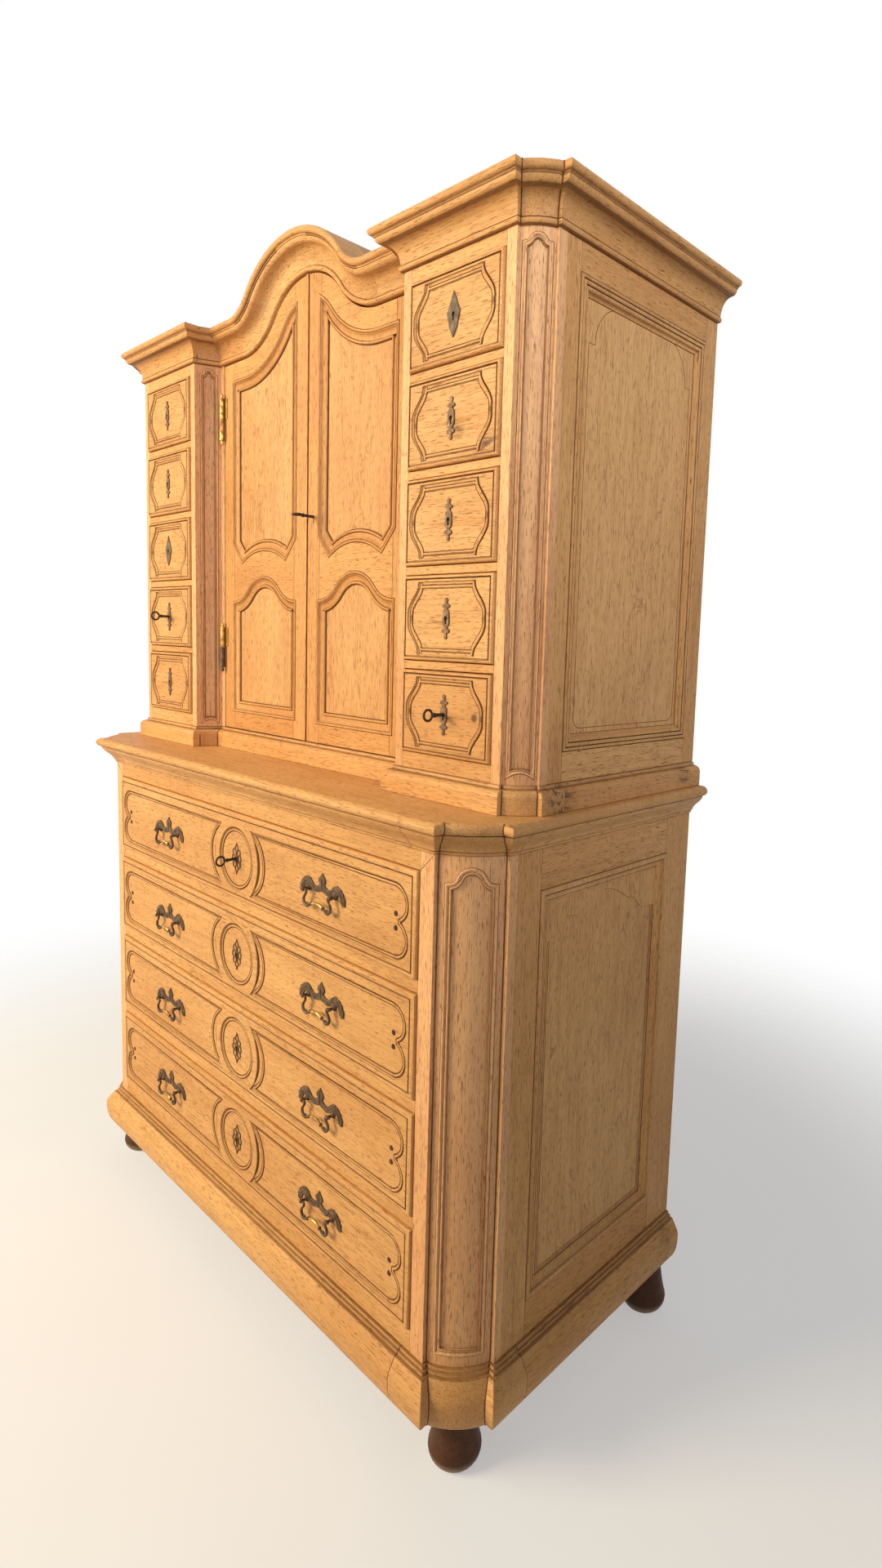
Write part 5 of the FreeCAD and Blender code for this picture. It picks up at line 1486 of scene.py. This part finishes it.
@dataclass
class SmallDrawer:
    """A small drawer: one bracketed field and its escutcheon."""
    side: str
    row: int
    kind: EscutcheonKind
    half_width: float = 61 * MM
    bulge: float = 25 * MM
    half_height: float = 52 * MM
    ear: float = 5.5 * MM
    swell: float = 0.42
    margin: float = 8.4 * MM
    lip: float = 6 * MM
    depth: float = 2.6 * MM
    plate_stand: float = 3 * MM
    boards: int = 5
    stains: tuple[Stain, ...] = ()

    def outline(self, ear: float) -> list[Point]:
        """Straight top and bottom between side brackets that sweep outwards.

        Args:
            ear: how far the brackets' ends reach past the top and bottom.

        Returns:
            The closed outline about the drawer's middle.
        """
        tall = self.half_height + ear
        right = []
        for share in evenly(0.0, 1.0, 28):
            rise = min(1.0, min(share, 1 - share) / self.swell)
            reach = self.half_width + self.bulge * rise * rise * (3 - 2 * rise)
            right.append((reach, (2 * share - 1) * tall))
        return right + mirrored(right)

    def build(self) -> None:
        """Dress the drawer with its escutcheon."""
        node = "small_drawer_{}_{}".format(self.side, self.row)
        low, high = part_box(node)
        face = low[1] + self.plate_stand
        x = (low[0] + high[0]) / 2
        z = (low[2] + high[2]) / 2
        line = moved_outline(self.outline(0.0), x, z)
        item = SunkField(inset_outline(line, -self.margin), line,
                         moved_outline(self.outline(self.ear), x, z), depth=self.depth, edge=self.depth)
        place = front_face(face)
        finishes = {index: INNER_OAK for index in range(1, self.boards)}
        if self.stains:
            finishes[0] = replace(OAK, name="oak_" + node, stains=self.stains)
        boards = Boards(node, node, finishes=finishes, skipped=(self.boards,),
                        carve={0: lambda shape: carve_fields(shape, [item], place, self.lip)})
        piece = boards.build()
        item.trim(piece, face, seed_of(node, 0))
        lip_line(piece, node, face, self.lip)
        piece.finish(node, "oak", (node,))
        metal = Piece(node + "_escutcheon")
        Escutcheon(self.kind, x, face + item.depth, z).add(metal)
        metal.finish(node, "steel", (), 50.0)


# Doors
@dataclass
class Arch:
    """The S-sided arch over the doors."""
    foot: float
    half_span: float = 235 * MM
    rise: float = 113 * MM

    def height(self, x: float, lift: float) -> float:
        """Height of the arch at x, lifted square to itself.

        Args:
            x: distance from the middle.
            lift: distance from the arch.

        Returns:
            The height.
        """
        half_turn = math.atan2(self.rise, self.half_span)
        radius = self.half_span / math.sin(2 * half_turn) / 2
        crown = radius + lift
        hollow = radius - lift
        across = abs(x)
        if across >= self.half_span:
            return self.foot + lift
        if across <= crown * math.sin(2 * half_turn):
            return self.foot + self.rise - radius + math.sqrt(crown ** 2 - across ** 2)
        return self.foot + radius - math.sqrt(hollow ** 2 - (self.half_span - across) ** 2)


@dataclass
class Door:
    """An arched door with an upper and a lower panel between beaded mouldings."""
    side: str
    inner: float
    outer: float = 284 * MM
    sink: float = 7 * MM
    top_drop: float = 49 * MM
    low_height: float = 240 * MM
    low_rise: float = 54 * MM
    middle: float = 138 * MM
    cusp_width: float = 34 * MM
    cusp_drop: float = 38 * MM
    cusp_arch: float = 24 * MM

    def upper_outline(self, arch: Arch, corner: float) -> list[Point]:
        """Upper panel on the right door.

        Args:
            arch: the arch that its top follows.
            corner: height of its lower corners.

        Returns:
            The closed outline, from its bottom cusps round the arched top.
        """
        left = self.inner + self.cusp_width
        right = self.outer - self.cusp_width
        cusps = flat_arch((left + right) / 2, corner - self.cusp_drop, (right - left) / 2, self.cusp_arch)
        top = [(x, arch.height(x, -self.top_drop)) for x in evenly(self.outer, self.inner, 30)]
        return cusps + [(self.outer, corner)] + top + [(self.inner, corner)]

    def lower_outline(self, low: float) -> list[Point]:
        """Lower panel on the right door, straight below and arched above.

        Args:
            low: height of its lower edge.

        Returns:
            The closed outline.
        """
        half = (self.outer - self.inner) / 2
        middle = (self.outer + self.inner) / 2
        arch = Arch(low + self.low_height, half, self.low_rise)
        top = [(middle + x, arch.height(x, 0.0)) for x in evenly(half, -half, 28)]
        return [(self.inner, low), (self.outer, low)] + top

    def build(self, arch: Arch) -> None:
        """Dress frame and panels of the door.

        Args:
            arch: the arch over the doors.
        """
        frame_node = "door_{}_frame".format(self.side)
        panel_node = "door_{}_panels".format(self.side)
        body = "door_" + self.side
        panel_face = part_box(panel_node)[0][1]
        face = panel_face - self.sink
        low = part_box(panel_node)[0][2]
        corner = low + self.low_height + self.middle
        outlines = [self.upper_outline(arch, corner), self.lower_outline(low)]
        if self.side == "left":
            outlines = [mirrored(outline) for outline in outlines]
        Boards(frame_node, body, DOOR_OAK, 1.2 * MM).dress()
        piece = Boards(panel_node, body, finish=DOOR_PANEL_OAK, ease=0.0, grain=Grain.ALONG_Z).build()
        oak = DOOR_OAK.material(Grain.ALONG_Z)
        for index, outline in enumerate(outlines):
            piece.add_shape(DOOR_MOULDING.shape(outline), oak, seed_of(panel_node, 7 + index),
                            front_face(face))
            # Lines of dark wax and painted shade along the mouldings
            wax_and_shade_lines(piece, outline, DOOR_LINES, front_face(face))
            wax_and_shade_lines(piece, outline, DOOR_PANEL_LINES, front_face(panel_face - 1.2 * MM), 0.9 * MM)
        piece.finish(body, "oak_panel", (panel_node,))


@dataclass
class Hinges:
    """Turned barrel hinges with finials, fixed and moving halves."""
    radius: float = 5.5 * MM
    half: float = 47 * MM
    finial: float = 12 * MM
    leaf: float = 14 * MM
    stand: float = 6.5 * MM
    metal: float = 1.6 * MM
    dark_below: float = 1.5

    def knuckle(self, up: bool) -> bmesh.types.BMesh:
        """One knuckle with its finial.

        Args:
            up: above the middle of the hinge where true, else below it.

        Returns:
            The turned knuckle about the hinge's middle.
        """
        wide = self.radius / MM
        tall = self.half / MM
        tip = self.finial / MM
        profile = [(0, 0.3), (wide * 0.98, 0.3), (wide, 1.2), (wide * 0.9, 2.0), (wide * 0.9, tall - 4),
                   (wide, tall - 3), (wide, tall - 0.6), (wide * 0.62, tall),
                   (wide * 0.5, tall + tip * 0.22), (wide * 0.72, tall + tip * 0.45),
                   (wide * 0.55, tall + tip * 0.7), (wide * 0.2, tall + tip * 0.86),
                   (0, tall + tip * 0.9)]
        if not up:
            profile = [(radius, -height) for radius, height in profile]
        return spun(metres(profile), 22)

    def lug(self, side: float, up: bool) -> bmesh.types.BMesh:
        """Leaf and web that tie a knuckle to the wood behind it.

        Args:
            side: 1 for a leaf to the right, -1 to the left.
            up: above the middle of the hinge where true, else below it.

        Returns:
            The leaf about the hinge's middle.
        """
        shape = bmesh.new()
        tall = self.half - 3 * MM
        lift = (self.half + 1 * MM) / 2 * (1 if up else -1)
        leaf = (side * self.leaf / 2, self.stand - self.metal / 2, lift)
        web = (side * 1.0 * MM, self.stand / 2, lift)
        for spot, size in ((leaf, (self.leaf, self.metal, tall)), (web, (self.metal, self.stand, tall))):
            corners = bmesh.ops.create_cube(shape, size=1.0)["verts"]
            bmesh.ops.scale(shape, verts=corners, vec=size)
            bmesh.ops.translate(shape, verts=corners, vec=spot)
        return shape

    def centres(self, node: str) -> list[float]:
        """Middle heights of the hinges in a node of moving halves.

        Args:
            node: the node.

        Returns:
            The lower and the upper height.
        """
        low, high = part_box(node)
        reach = self.half + self.finial / 2 + 0.7 * self.radius
        return [low[2], high[2] - reach]

    def build(self) -> None:
        """Model the halves over their nodes."""
        fixed = Piece("hinge_pins_turned")
        for side, name in ((-1, "left"), (1, "right")):
            x, y = joint_place("door_{}_hinge".format(name))[:2]
            node = "door_{}_hinges".format(name)
            moving = Piece(node + "_turned")
            for z in self.centres(node):
                place = Matrix.Translation((x, y, z))
                moving.add_shape(self.knuckle(True), BRASS.material(), 0.0, place)
                moving.add_shape(self.lug(-side, True), BRASS.material(), 0.0, place)
                metal = BRONZE if side < 0 and z < self.dark_below else BRASS
                fixed.add_shape(self.knuckle(False), metal.material(), 0.0, place)
                fixed.add_shape(self.lug(side, False), metal.material(), 0.0, place)
            moving.finish("door_" + name, "brass", (node,), 50.0)
        fixed.finish("carcase", "brass", ("hinge_pins",), 50.0)


# Carcase
@dataclass
class Plan:
    """Plan sizes that the carved pilasters and side panels follow."""
    half_width: float = 664 * MM
    front: float = -280 * MM
    lower_cant: float = 82 * MM
    lower_step: float = 8 * MM
    lower_bow: float = 12 * MM
    upper_front: float = -182 * MM
    upper_cant: float = 44 * MM
    upper_step: float = 6 * MM
    upper_bow: float = 5 * MM
    bank_inner: float = 366 * MM
    jamb: float = 344 * MM
    door_face: float = -129 * MM
    pilaster_panel: float = 72 * MM
    outer_panel: float = 38 * MM
    inner_panel: float = 30 * MM

    def bow_circle(self, cant: float, step: float, front: float, swell: float) -> Triple:
        """Centre and radius of a bowed right corner in plan.

        Args:
            cant: width and depth that the corner loses.
            step: setback of the bow's ends.
            front: the front face in Y.
            swell: how far the corner bows out.

        Returns:
            The centre's X and Y, and the radius.
        """
        half_chord = (cant - step) / math.sqrt(2)
        radius = segment(half_chord, swell)[0]
        inward = (radius - swell) / math.sqrt(2)
        return self.half_width - (cant + step) / 2 - inward, front + (step + cant) / 2 + inward, radius

    def lower_circle(self) -> Triple:
        """The bow of the lower right pilaster."""
        return self.bow_circle(self.lower_cant, self.lower_step, self.front, self.lower_bow)

    def upper_circle(self) -> Triple:
        """The bow of the upper right pilaster."""
        return self.bow_circle(self.upper_cant, self.upper_step, self.upper_front, self.upper_bow)

    def inner_face(self) -> tuple[Point, Point]:
        """Ends of the right inner cant in plan, from the doors."""
        return (self.jamb, self.door_face), (self.bank_inner, self.upper_front + self.upper_step)


@dataclass
class Pilaster:
    """The sunk panel of a post, outlined with beads."""
    half: float
    low: float
    shoulder: float
    rise: float
    foot_rise: float
    moulding: Moulding
    line: float = WAX_AND_SHADE_LINE

    def outline(self) -> list[Point]:
        """Arched head over straight sides, with a straight or hollowed foot.

        Returns:
            The closed outline about the face's middle line.
        """
        arch = Arch(self.shoulder, self.half, self.rise)
        heads = evenly(self.half, -self.half, 18)
        points = [(x, arch.height(x, 0.0)) for x in heads]
        if not self.foot_rise:
            return [(-x, self.low) for x in heads] + points
        return flat_arch(0, self.low, self.half, self.foot_rise, 8) + points

    def shape(self) -> bmesh.types.BMesh:
        """The beads in the drawing's plane."""
        return self.moulding.shape(self.outline())

    def lines(self) -> bmesh.types.BMesh:
        """Lines of dark wax and painted shade along the beads in the drawing's plane.

        Returns:
            The lines.
        """
        insets = (self.moulding.profile[0][0], self.moulding.profile[-2][0])
        mesh = wax_and_shade_mesh([inset_outline(self.outline(), inset * MM) for inset in insets], self.line)
        shape = bmesh.new()
        shape.from_mesh(mesh)
        bpy.data.meshes.remove(mesh)
        return shape


def bend_round(shape: bmesh.types.BMesh, centre: Point, radius: float, middle: float) -> None:
    """Bend a drawing-plane shape round an upright cylinder.

    Args:
        shape: its X across, Y up and Z out of the face.
        centre: the cylinder's place in plan.
        radius: the face's radius.
        middle: plan angle of the face's middle line.
    """
    for vert in shape.verts:
        across, up, out = vert.co
        angle = middle + across / radius
        reach = radius + out
        vert.co = (centre[0] + reach * math.cos(angle), centre[1] + reach * math.sin(angle), up)


@dataclass
class SidePanel:
    """The drawing on a side panel, in the plane of Y and Z."""
    low: Point
    high: Point
    line: float = 35 * MM
    corner: float = 18 * MM
    shoulder: float = 16 * MM
    head: float = 70 * MM
    head_inset: float = 21 * MM
    spandrel_inset: float = 26 * MM
    doubled: tuple[float, float] = (31 * MM, 35 * MM)
    scribe: float = 0.6 * MM

    def corners(self) -> list[Point]:
        """The panel's opening."""
        return oblong(self.low, self.high)

    def double_line(self) -> list[list[Point]]:
        """Two scribed lines that follow the opening."""
        return [inset_outline(self.corners(), inset) for inset in self.doubled]

    def shouldered(self) -> list[list[Point]]:
        """A scribed line with rounded lower corners and a shouldered round head.

        Returns:
            The line, in a list.
        """
        left = self.low[0] + self.line
        right = self.high[0] - self.line
        foot = self.low[1] + self.line
        top = self.high[1] - self.head_inset
        spring = top - self.head
        points = arc((left + self.corner, foot + self.corner), self.corner, 180, 270, 6)
        points += arc((right - self.corner, foot + self.corner), self.corner, 270, 360, 6)
        points += [(right, spring)] + arc((right - self.shoulder - self.head, spring), self.head, 0, 90)
        points += arc((left + self.shoulder + self.head, spring), self.head, 90, 180) + [(left, spring)]
        return [points]

    def spandrel(self) -> list[Point]:
        """A thin carved plate in the panel's head, cut to a lobed arch.

        Returns:
            The plate's closed outline.
        """
        lobes = [(-61, 887), (-40, 909), (-30, 907), (-13, 904), (3, 915), (23, 926), (43, 933), (63, 935),
                 (82, 932), (102, 924), (123, 912), (143, 902), (157, 901), (166, 890), (176, 880),
                 (186, 875)]
        left = self.low[0] + self.spandrel_inset
        right = self.high[0] - self.spandrel_inset
        top = self.high[1] - self.spandrel_inset
        ends = [(right, 872 * MM), (right, top), (left, top), (left, 874 * MM)]
        return metres(lobes) + ends


class Carcase:
    """Both cases with their mouldings, posts, sides, roof and back."""

    # Levels of the dark lines, at joints and as painted shade along moulding steps, are shares of a node's
    # height
    PLAIN = ("plinth", "lower_top", "lower_rails", "upper_base", "bank_rails", "bank_cornice",
             "arch_cornice")
    JOINT_AND_SHADE_LINES = {"plinth": (0.9, 0.95, 1.0), "lower_top": (0.0, 0.1, 0.65), "upper_base": (0.0, 0.865, 1.0),
             "bank_cornice": (0.0, 0.145, 0.615, 0.785)}
    STAINS = {"upper_base": ((0.68, -0.105, 1.12, 0.055), (0.68, 0.27, 1.126, 0.03)),
              "plinth": ((0.68, 0.29, 0.165, 0.03),)}
    INSIDE = ("drawer_runners", "lower_bottom", "lower_back", "dust_boards", "cupboard_shelves",
              "upper_back", "roof")
    PANELS = ("lower_side_panels", "upper_side_panels")

    def __init__(self, plan: Plan) -> None:
        """Keep the plan."""
        self.plan = plan

    def build(self) -> None:
        """Dress every node of the case."""
        for node in self.PLAIN:
            low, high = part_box(node)
            levels = [low[2] + share * (high[2] - low[2]) for share in self.JOINT_AND_SHADE_LINES.get(node, ())]
            finish = replace(OAK, name="oak_" + node, joint_and_shade_lines=tuple(levels),
                             stains=self.STAINS.get(node, ()))
            if node.endswith("cornice"):
                # Cornices get wider and stronger painted shade in their hollows
                finish = replace(finish, hollow_shade_reach=24 * MM, hollow_shade_strength=0.75)
            Boards(node, "carcase", finish=finish, joint_line=1.3 * MM).dress()
        for node in self.INSIDE:
            Boards(node, "carcase", finish=INNER_OAK).dress()
        for node in self.PANELS:
            self.side(node)
        self.lower_posts()
        self.upper_posts("outer_posts")
        self.upper_posts("inner_posts")
        Boards("feet", "carcase", finish=FOOT_OAK, slot="foot_oak", ease=0.0, sharp=50.0).dress()

    def side(self, panel_node: str) -> None:
        """Frames, moulding and carved panels of both sides of one piece.

        Args:
            panel_node: node of the two panels; the frames' node is named after it.
        """
        frame_node = panel_node.replace("panels", "frames")
        upper = panel_node.startswith("upper")
        panels = Boards(panel_node, "carcase", finish=PANEL_OAK, ease=0.0, grain=Grain.ALONG_Z).build()
        frames = Boards(frame_node, "carcase", skipped=range(8, 16)).build()
        low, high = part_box(panel_node)
        carving = SidePanel((low[1], low[2]), (high[1], high[2]))
        moulding = UPPER_SIDE_MOULDING if upper else SIDE_MOULDING
        lines = UPPER_SIDE_LINES if upper else SIDE_LINES
        face = self.plan.half_width
        oak = OAK.material(Grain.ALONG_Z)
        panel_oak = PANEL_OAK.material(Grain.ALONG_Z)
        for side in (-1, 1):
            turn = Matrix(((0, 0, side, 0), (side, 0, 0, 0), (0, 1, 0, 0), (0, 0, 0, 1)))
            outer = Matrix.Translation((side * face, 0, 0)) @ turn
            inner = Matrix.Translation((side * high[0], 0, 0)) @ turn
            outline = carving.corners() if side > 0 else mirrored(carving.corners())
            frames.add_shape(moulding.shape(outline), oak, seed_of(frame_node, 9 + side), outer)
            # Lines of dark wax and painted shade along the moulding and the scribed carving
            wax_and_shade_lines(frames, outline, lines[:-1], outer)
            wax_and_shade_lines(frames, outline, lines[-1:], inner, 1.1 * MM)
            scribed = carving.shouldered() if upper else carving.double_line()
            spandrel = [] if upper else carving.spandrel()
            if side < 0:
                scribed = [mirrored(line) for line in scribed]
                spandrel = mirrored(spandrel)
            wax = WAX_AND_SHADE.material(Grain.ALONG_X)
            panels.add(wax_and_shade_mesh(scribed, carving.scribe), wax, 0.0, inner)
            if spandrel:
                plate = plate_mesh([spandrel], carving.scribe, carving.scribe)
                panels.add(plate, panel_oak, seed_of(panel_node, 4), inner)
                panels.add(wax_and_shade_mesh([spandrel], carving.scribe), wax, 0.0, inner)
        frames.finish("carcase", "oak", (frame_node,))
        panels.finish("carcase", "oak_panel", (panel_node,))

    @staticmethod
    def bowed_panels(piece: Piece, panel: Pilaster, circle: Triple, seed: float) -> None:
        """Wrap a panel's beads and their lines of dark wax and painted shade round the bows of both
        corners.

        Args:
            piece: the posts' piece.
            panel: the panel.
            circle: centre and radius of the right bow in plan.
            seed: shifts the wood's pattern.
        """
        centre_x, centre_y, radius = circle
        for side in (-1, 1):
            middle = -math.pi / 4 if side > 0 else -3 * math.pi / 4
            for shape, finish in ((panel.shape(), POST_OAK), (panel.lines(), SOFT_WAX_AND_SHADE)):
                bend_round(shape, (side * centre_x, centre_y), radius, middle)
                piece.add_shape(shape, finish.material(Grain.ALONG_Z), seed + side)

    def lower_posts(self) -> None:
        """Bowed corner posts with their outlined panels."""
        plan = self.plan
        node = "corner_posts"
        low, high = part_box(node)
        piece = Boards(node, "carcase", POST_OAK).build()
        half = plan.pilaster_panel / 2
        panel = Pilaster(half, low[2] + 0.7 * half, high[2] - 1.4 * half, 0.72 * half, 0.0,
                         PILASTER_MOULDING)
        self.bowed_panels(piece, panel, plan.lower_circle(), seed_of(node, 3))
        breaks = ((plan.half_width - plan.lower_cant, plan.front + plan.lower_step),
                  (plan.half_width - plan.lower_step, plan.front + plan.lower_cant))
        # Dark lines at the steps beside each bow: the joints, and painted shade in the steps' corners
        joints = [Stroke([(side * x, y, low[2]), (side * x, y, high[2])])
                  for side in (-1, 1) for x, y in breaks]
        piece.add(curve_mesh(joints, 1.3 * MM, rounds=0), WAX_AND_SHADE.material(Grain.ALONG_Z))
        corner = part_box("long_drawer_1")[1]
        mitres = [Stroke([(side * corner[0], plan.front, corner[2]),
                          (side * breaks[0][0], plan.front, high[2])]) for side in (-1, 1)]
        piece.add(curve_mesh(mitres, 0.5 * MM, rounds=0), WAX_AND_SHADE.material(Grain.ALONG_Z))
        piece.finish("carcase", "oak", (node,))

    def upper_posts(self, node: str) -> None:
        """Outer or inner posts of the banks with their outlined panels.

        Args:
            node: outer_posts or inner_posts.
        """
        plan = self.plan
        outer = node == "outer_posts"
        low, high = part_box("outer_posts")
        piece = Boards(node, "carcase", POST_OAK).build()
        half = (plan.outer_panel if outer else plan.inner_panel) / 2
        # Foot, shoulder and rise of the panel's outline are shares of its half width
        foot, shoulder, rise = (0.87, 1.32, 0.62) if outer else (1.0, 1.6, 0.8)
        panel = Pilaster(half, low[2] + foot * half, high[2] - shoulder * half, rise * half, half / 3,
                         FINE_PILASTER_MOULDING, 0.8 * MM)
        if outer:
            self.bowed_panels(piece, panel, plan.upper_circle(), seed_of(node, 5))
        else:
            first, second = plan.inner_face()
            turn = math.atan2(second[1] - first[1], second[0] - first[0])
            middle = ((first[0] + second[0]) / 2, (first[1] + second[1]) / 2)
            for side in (-1, 1):
                place = upright_face(side * middle[0], middle[1], side * turn)
                piece.add_shape(panel.shape(), POST_OAK.material(Grain.ALONG_Z),
                                seed_of(node, side + 5), place)
                piece.add_shape(panel.lines(), SOFT_WAX_AND_SHADE.material(Grain.ALONG_Z), 0.0, place)
        piece.finish("carcase", "oak", (node,))


# Studio
@dataclass(frozen=True)
class Lamp:
    """A soft square lamp that looks at a point, its beam as wide as spread in degrees."""
    name: str
    spot: Triple
    aim: Triple
    size: float
    power: float
    colour: Triple
    spread: float = 180.0

    def build(self) -> None:
        """Hang the lamp."""
        data = bpy.data.lights.new(self.name, "AREA")
        data.size = self.size
        data.energy = self.power
        data.color = self.colour
        data.spread = math.radians(self.spread)
        gaze = Vector(self.aim) - Vector(self.spot)
        turn = gaze.to_track_quat("-Z", "Y").to_matrix().to_4x4()
        new_object(self.name, data).matrix_world = Matrix.Translation(self.spot) @ turn


@dataclass(frozen=True)
class Studio:
    """Pale floor, soft lamps and the camera at the photograph's place."""
    focal_pixels: float = 1009.4
    centre_pixel: Point = (614.4, 894.5)
    image: Point = (1080.0, 1920.0)
    sensor: float = 36.0
    eye: Triple = (1.4861, -1.114, 1.3636)
    right: Triple = (0.7302, 0.6824, 0.0327)
    down: Triple = (0.0963, -0.0554, -0.9938)
    floor_size: float = 12.0
    floor_tones: tuple[Colour, Colour] = ((0.86, 0.86, 0.86, 1.0), (0.9, 0.9, 0.9, 1.0))
    floor_fade: Point = (2.6, 1.1)
    floor_share: float = 0.6
    fill: Colour = (1.0, 0.97, 0.94, 1.0)
    fill_strength: float = 0.26
    white: Colour = (1.0, 1.0, 1.0, 1.0)
    lamps: tuple[Lamp, ...] = (
        Lamp("key", (-2.0, -3.8, 2.5), (0.0, 0.0, 1.1), 2.2, 276.0, (1.0, 0.845, 0.555)),
        Lamp("fill", (3.1, -1.7, 2.9), (0.6, 0.0, 2.0), 1.0, 5.4, (0.98, 0.97, 1.0), 46.0))

    def camera(self) -> None:
        """Place the camera from the fitted view."""
        data = bpy.data.cameras.new("camera")
        data.sensor_width = self.sensor
        data.lens = self.focal_pixels / self.image[1] * self.sensor
        data.shift_x = (self.image[0] / 2 - self.centre_pixel[0]) / self.image[1]
        data.shift_y = (self.centre_pixel[1] - self.image[1] / 2) / self.image[1]
        made = new_object("camera", data)
        right = Vector(self.right).normalized()
        up = -(Vector(self.down) - right * right.dot(Vector(self.down))).normalized()
        back = right.cross(up)
        turn = Matrix((right, up, back)).transposed().to_4x4()
        made.matrix_world = Matrix.Translation(self.eye) @ turn
        bpy.context.scene.camera = made

    def floor(self) -> None:
        """Pale floor that keeps the shadow and fades into the white round it."""
        shape = bmesh.new()
        bmesh.ops.create_grid(shape, x_segments=1, y_segments=1, size=self.floor_size)
        mesh = as_mesh(shape, "floor")
        graph = MaterialGraph("pale_floor")
        place = graph.node("ShaderNodeTexCoord").outputs["Object"]
        mottle = graph.tone("ShaderNodeTexNoise", {}, {"Vector": place, "Scale": 3.0})
        colour = graph.mix(mottle, *self.floor_tones)
        reach = graph.tone("ShaderNodeVectorMath", {"operation": "LENGTH"}, {0: place}, "Value")
        shown = reach.step(*self.floor_fade) * self.floor_share
        mesh.materials.append(graph.finish(Base_Color=colour, Roughness=0.9, Alpha=shown))
        new_object("floor", mesh)

    def sky(self) -> None:
        """White for the camera and in the metal, a soft fill for the object."""
        world = bpy.data.worlds.new("studio")
        world.use_nodes = True
        bpy.context.scene.world = world
        graph = Graph(world.node_tree)
        fill = graph.tree.nodes["Background"]
        graph.plug(fill.inputs["Color"], self.fill)
        graph.plug(fill.inputs["Strength"], self.fill_strength)
        white = graph.node("ShaderNodeBackground", {}, {"Color": self.white})
        path = graph.node("ShaderNodeLightPath")
        seen = Tone(graph, path.outputs["Is Camera Ray"])
        for ray in ("Is Glossy Ray", "Is Transmission Ray"):
            seen = seen.either(path.outputs[ray])
        blend = graph.node("ShaderNodeMixShader", {},
                           {0: seen, 1: fill.outputs[0], 2: white.outputs[0]})
        graph.plug(graph.tree.nodes["World Output"].inputs["Surface"], blend.outputs[0])

    def build(self) -> None:
        """Set up floor, light and camera."""
        self.floor()
        self.sky()
        for lamp in self.lamps:
            lamp.build()
        self.camera()
        bpy.context.scene.view_settings.view_transform = "Standard"


# Kinds of keyhole plates from the top drawer down, and the stains on one front
LEFT_PLATES = (EscutcheonKind.CROSS, EscutcheonKind.CROSS, EscutcheonKind.LOZENGE, EscutcheonKind.CROSS,
               EscutcheonKind.CROSS)
RIGHT_PLATES = (EscutcheonKind.LOZENGE, EscutcheonKind.CROSS, EscutcheonKind.CROSS, EscutcheonKind.CROSS,
                EscutcheonKind.CROSS)
DRAWER_STAINS = {("right", 2): ((0.505, -0.186, 1.705, 0.028), (0.575, -0.186, 1.668, 0.03))}


def main() -> None:
    """Build every piece in order."""
    logging.basicConfig(level=logging.INFO, format="%(name)s %(message)s")
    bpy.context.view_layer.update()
    Carcase(Plan()).build()
    for row in range(1, 5):
        LongDrawer(row).build()
    for side, plates in (("left", LEFT_PLATES), ("right", RIGHT_PLATES)):
        for row, kind in enumerate(plates, start=1):
            SmallDrawer(side, row, kind, stains=DRAWER_STAINS.get((side, row), ())).build()
    arch = Arch(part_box("bank_cornice")[0][2])
    Door("left", 40 * MM).build(arch)
    Door("right", 52 * MM).build(arch)
    Hinges().build()
    for node in ("key_long_drawer", "key_small_left", "key_small_right", "key_door"):
        Key(node).build()
    Studio().build()


if __name__ == "__main__":
    main()
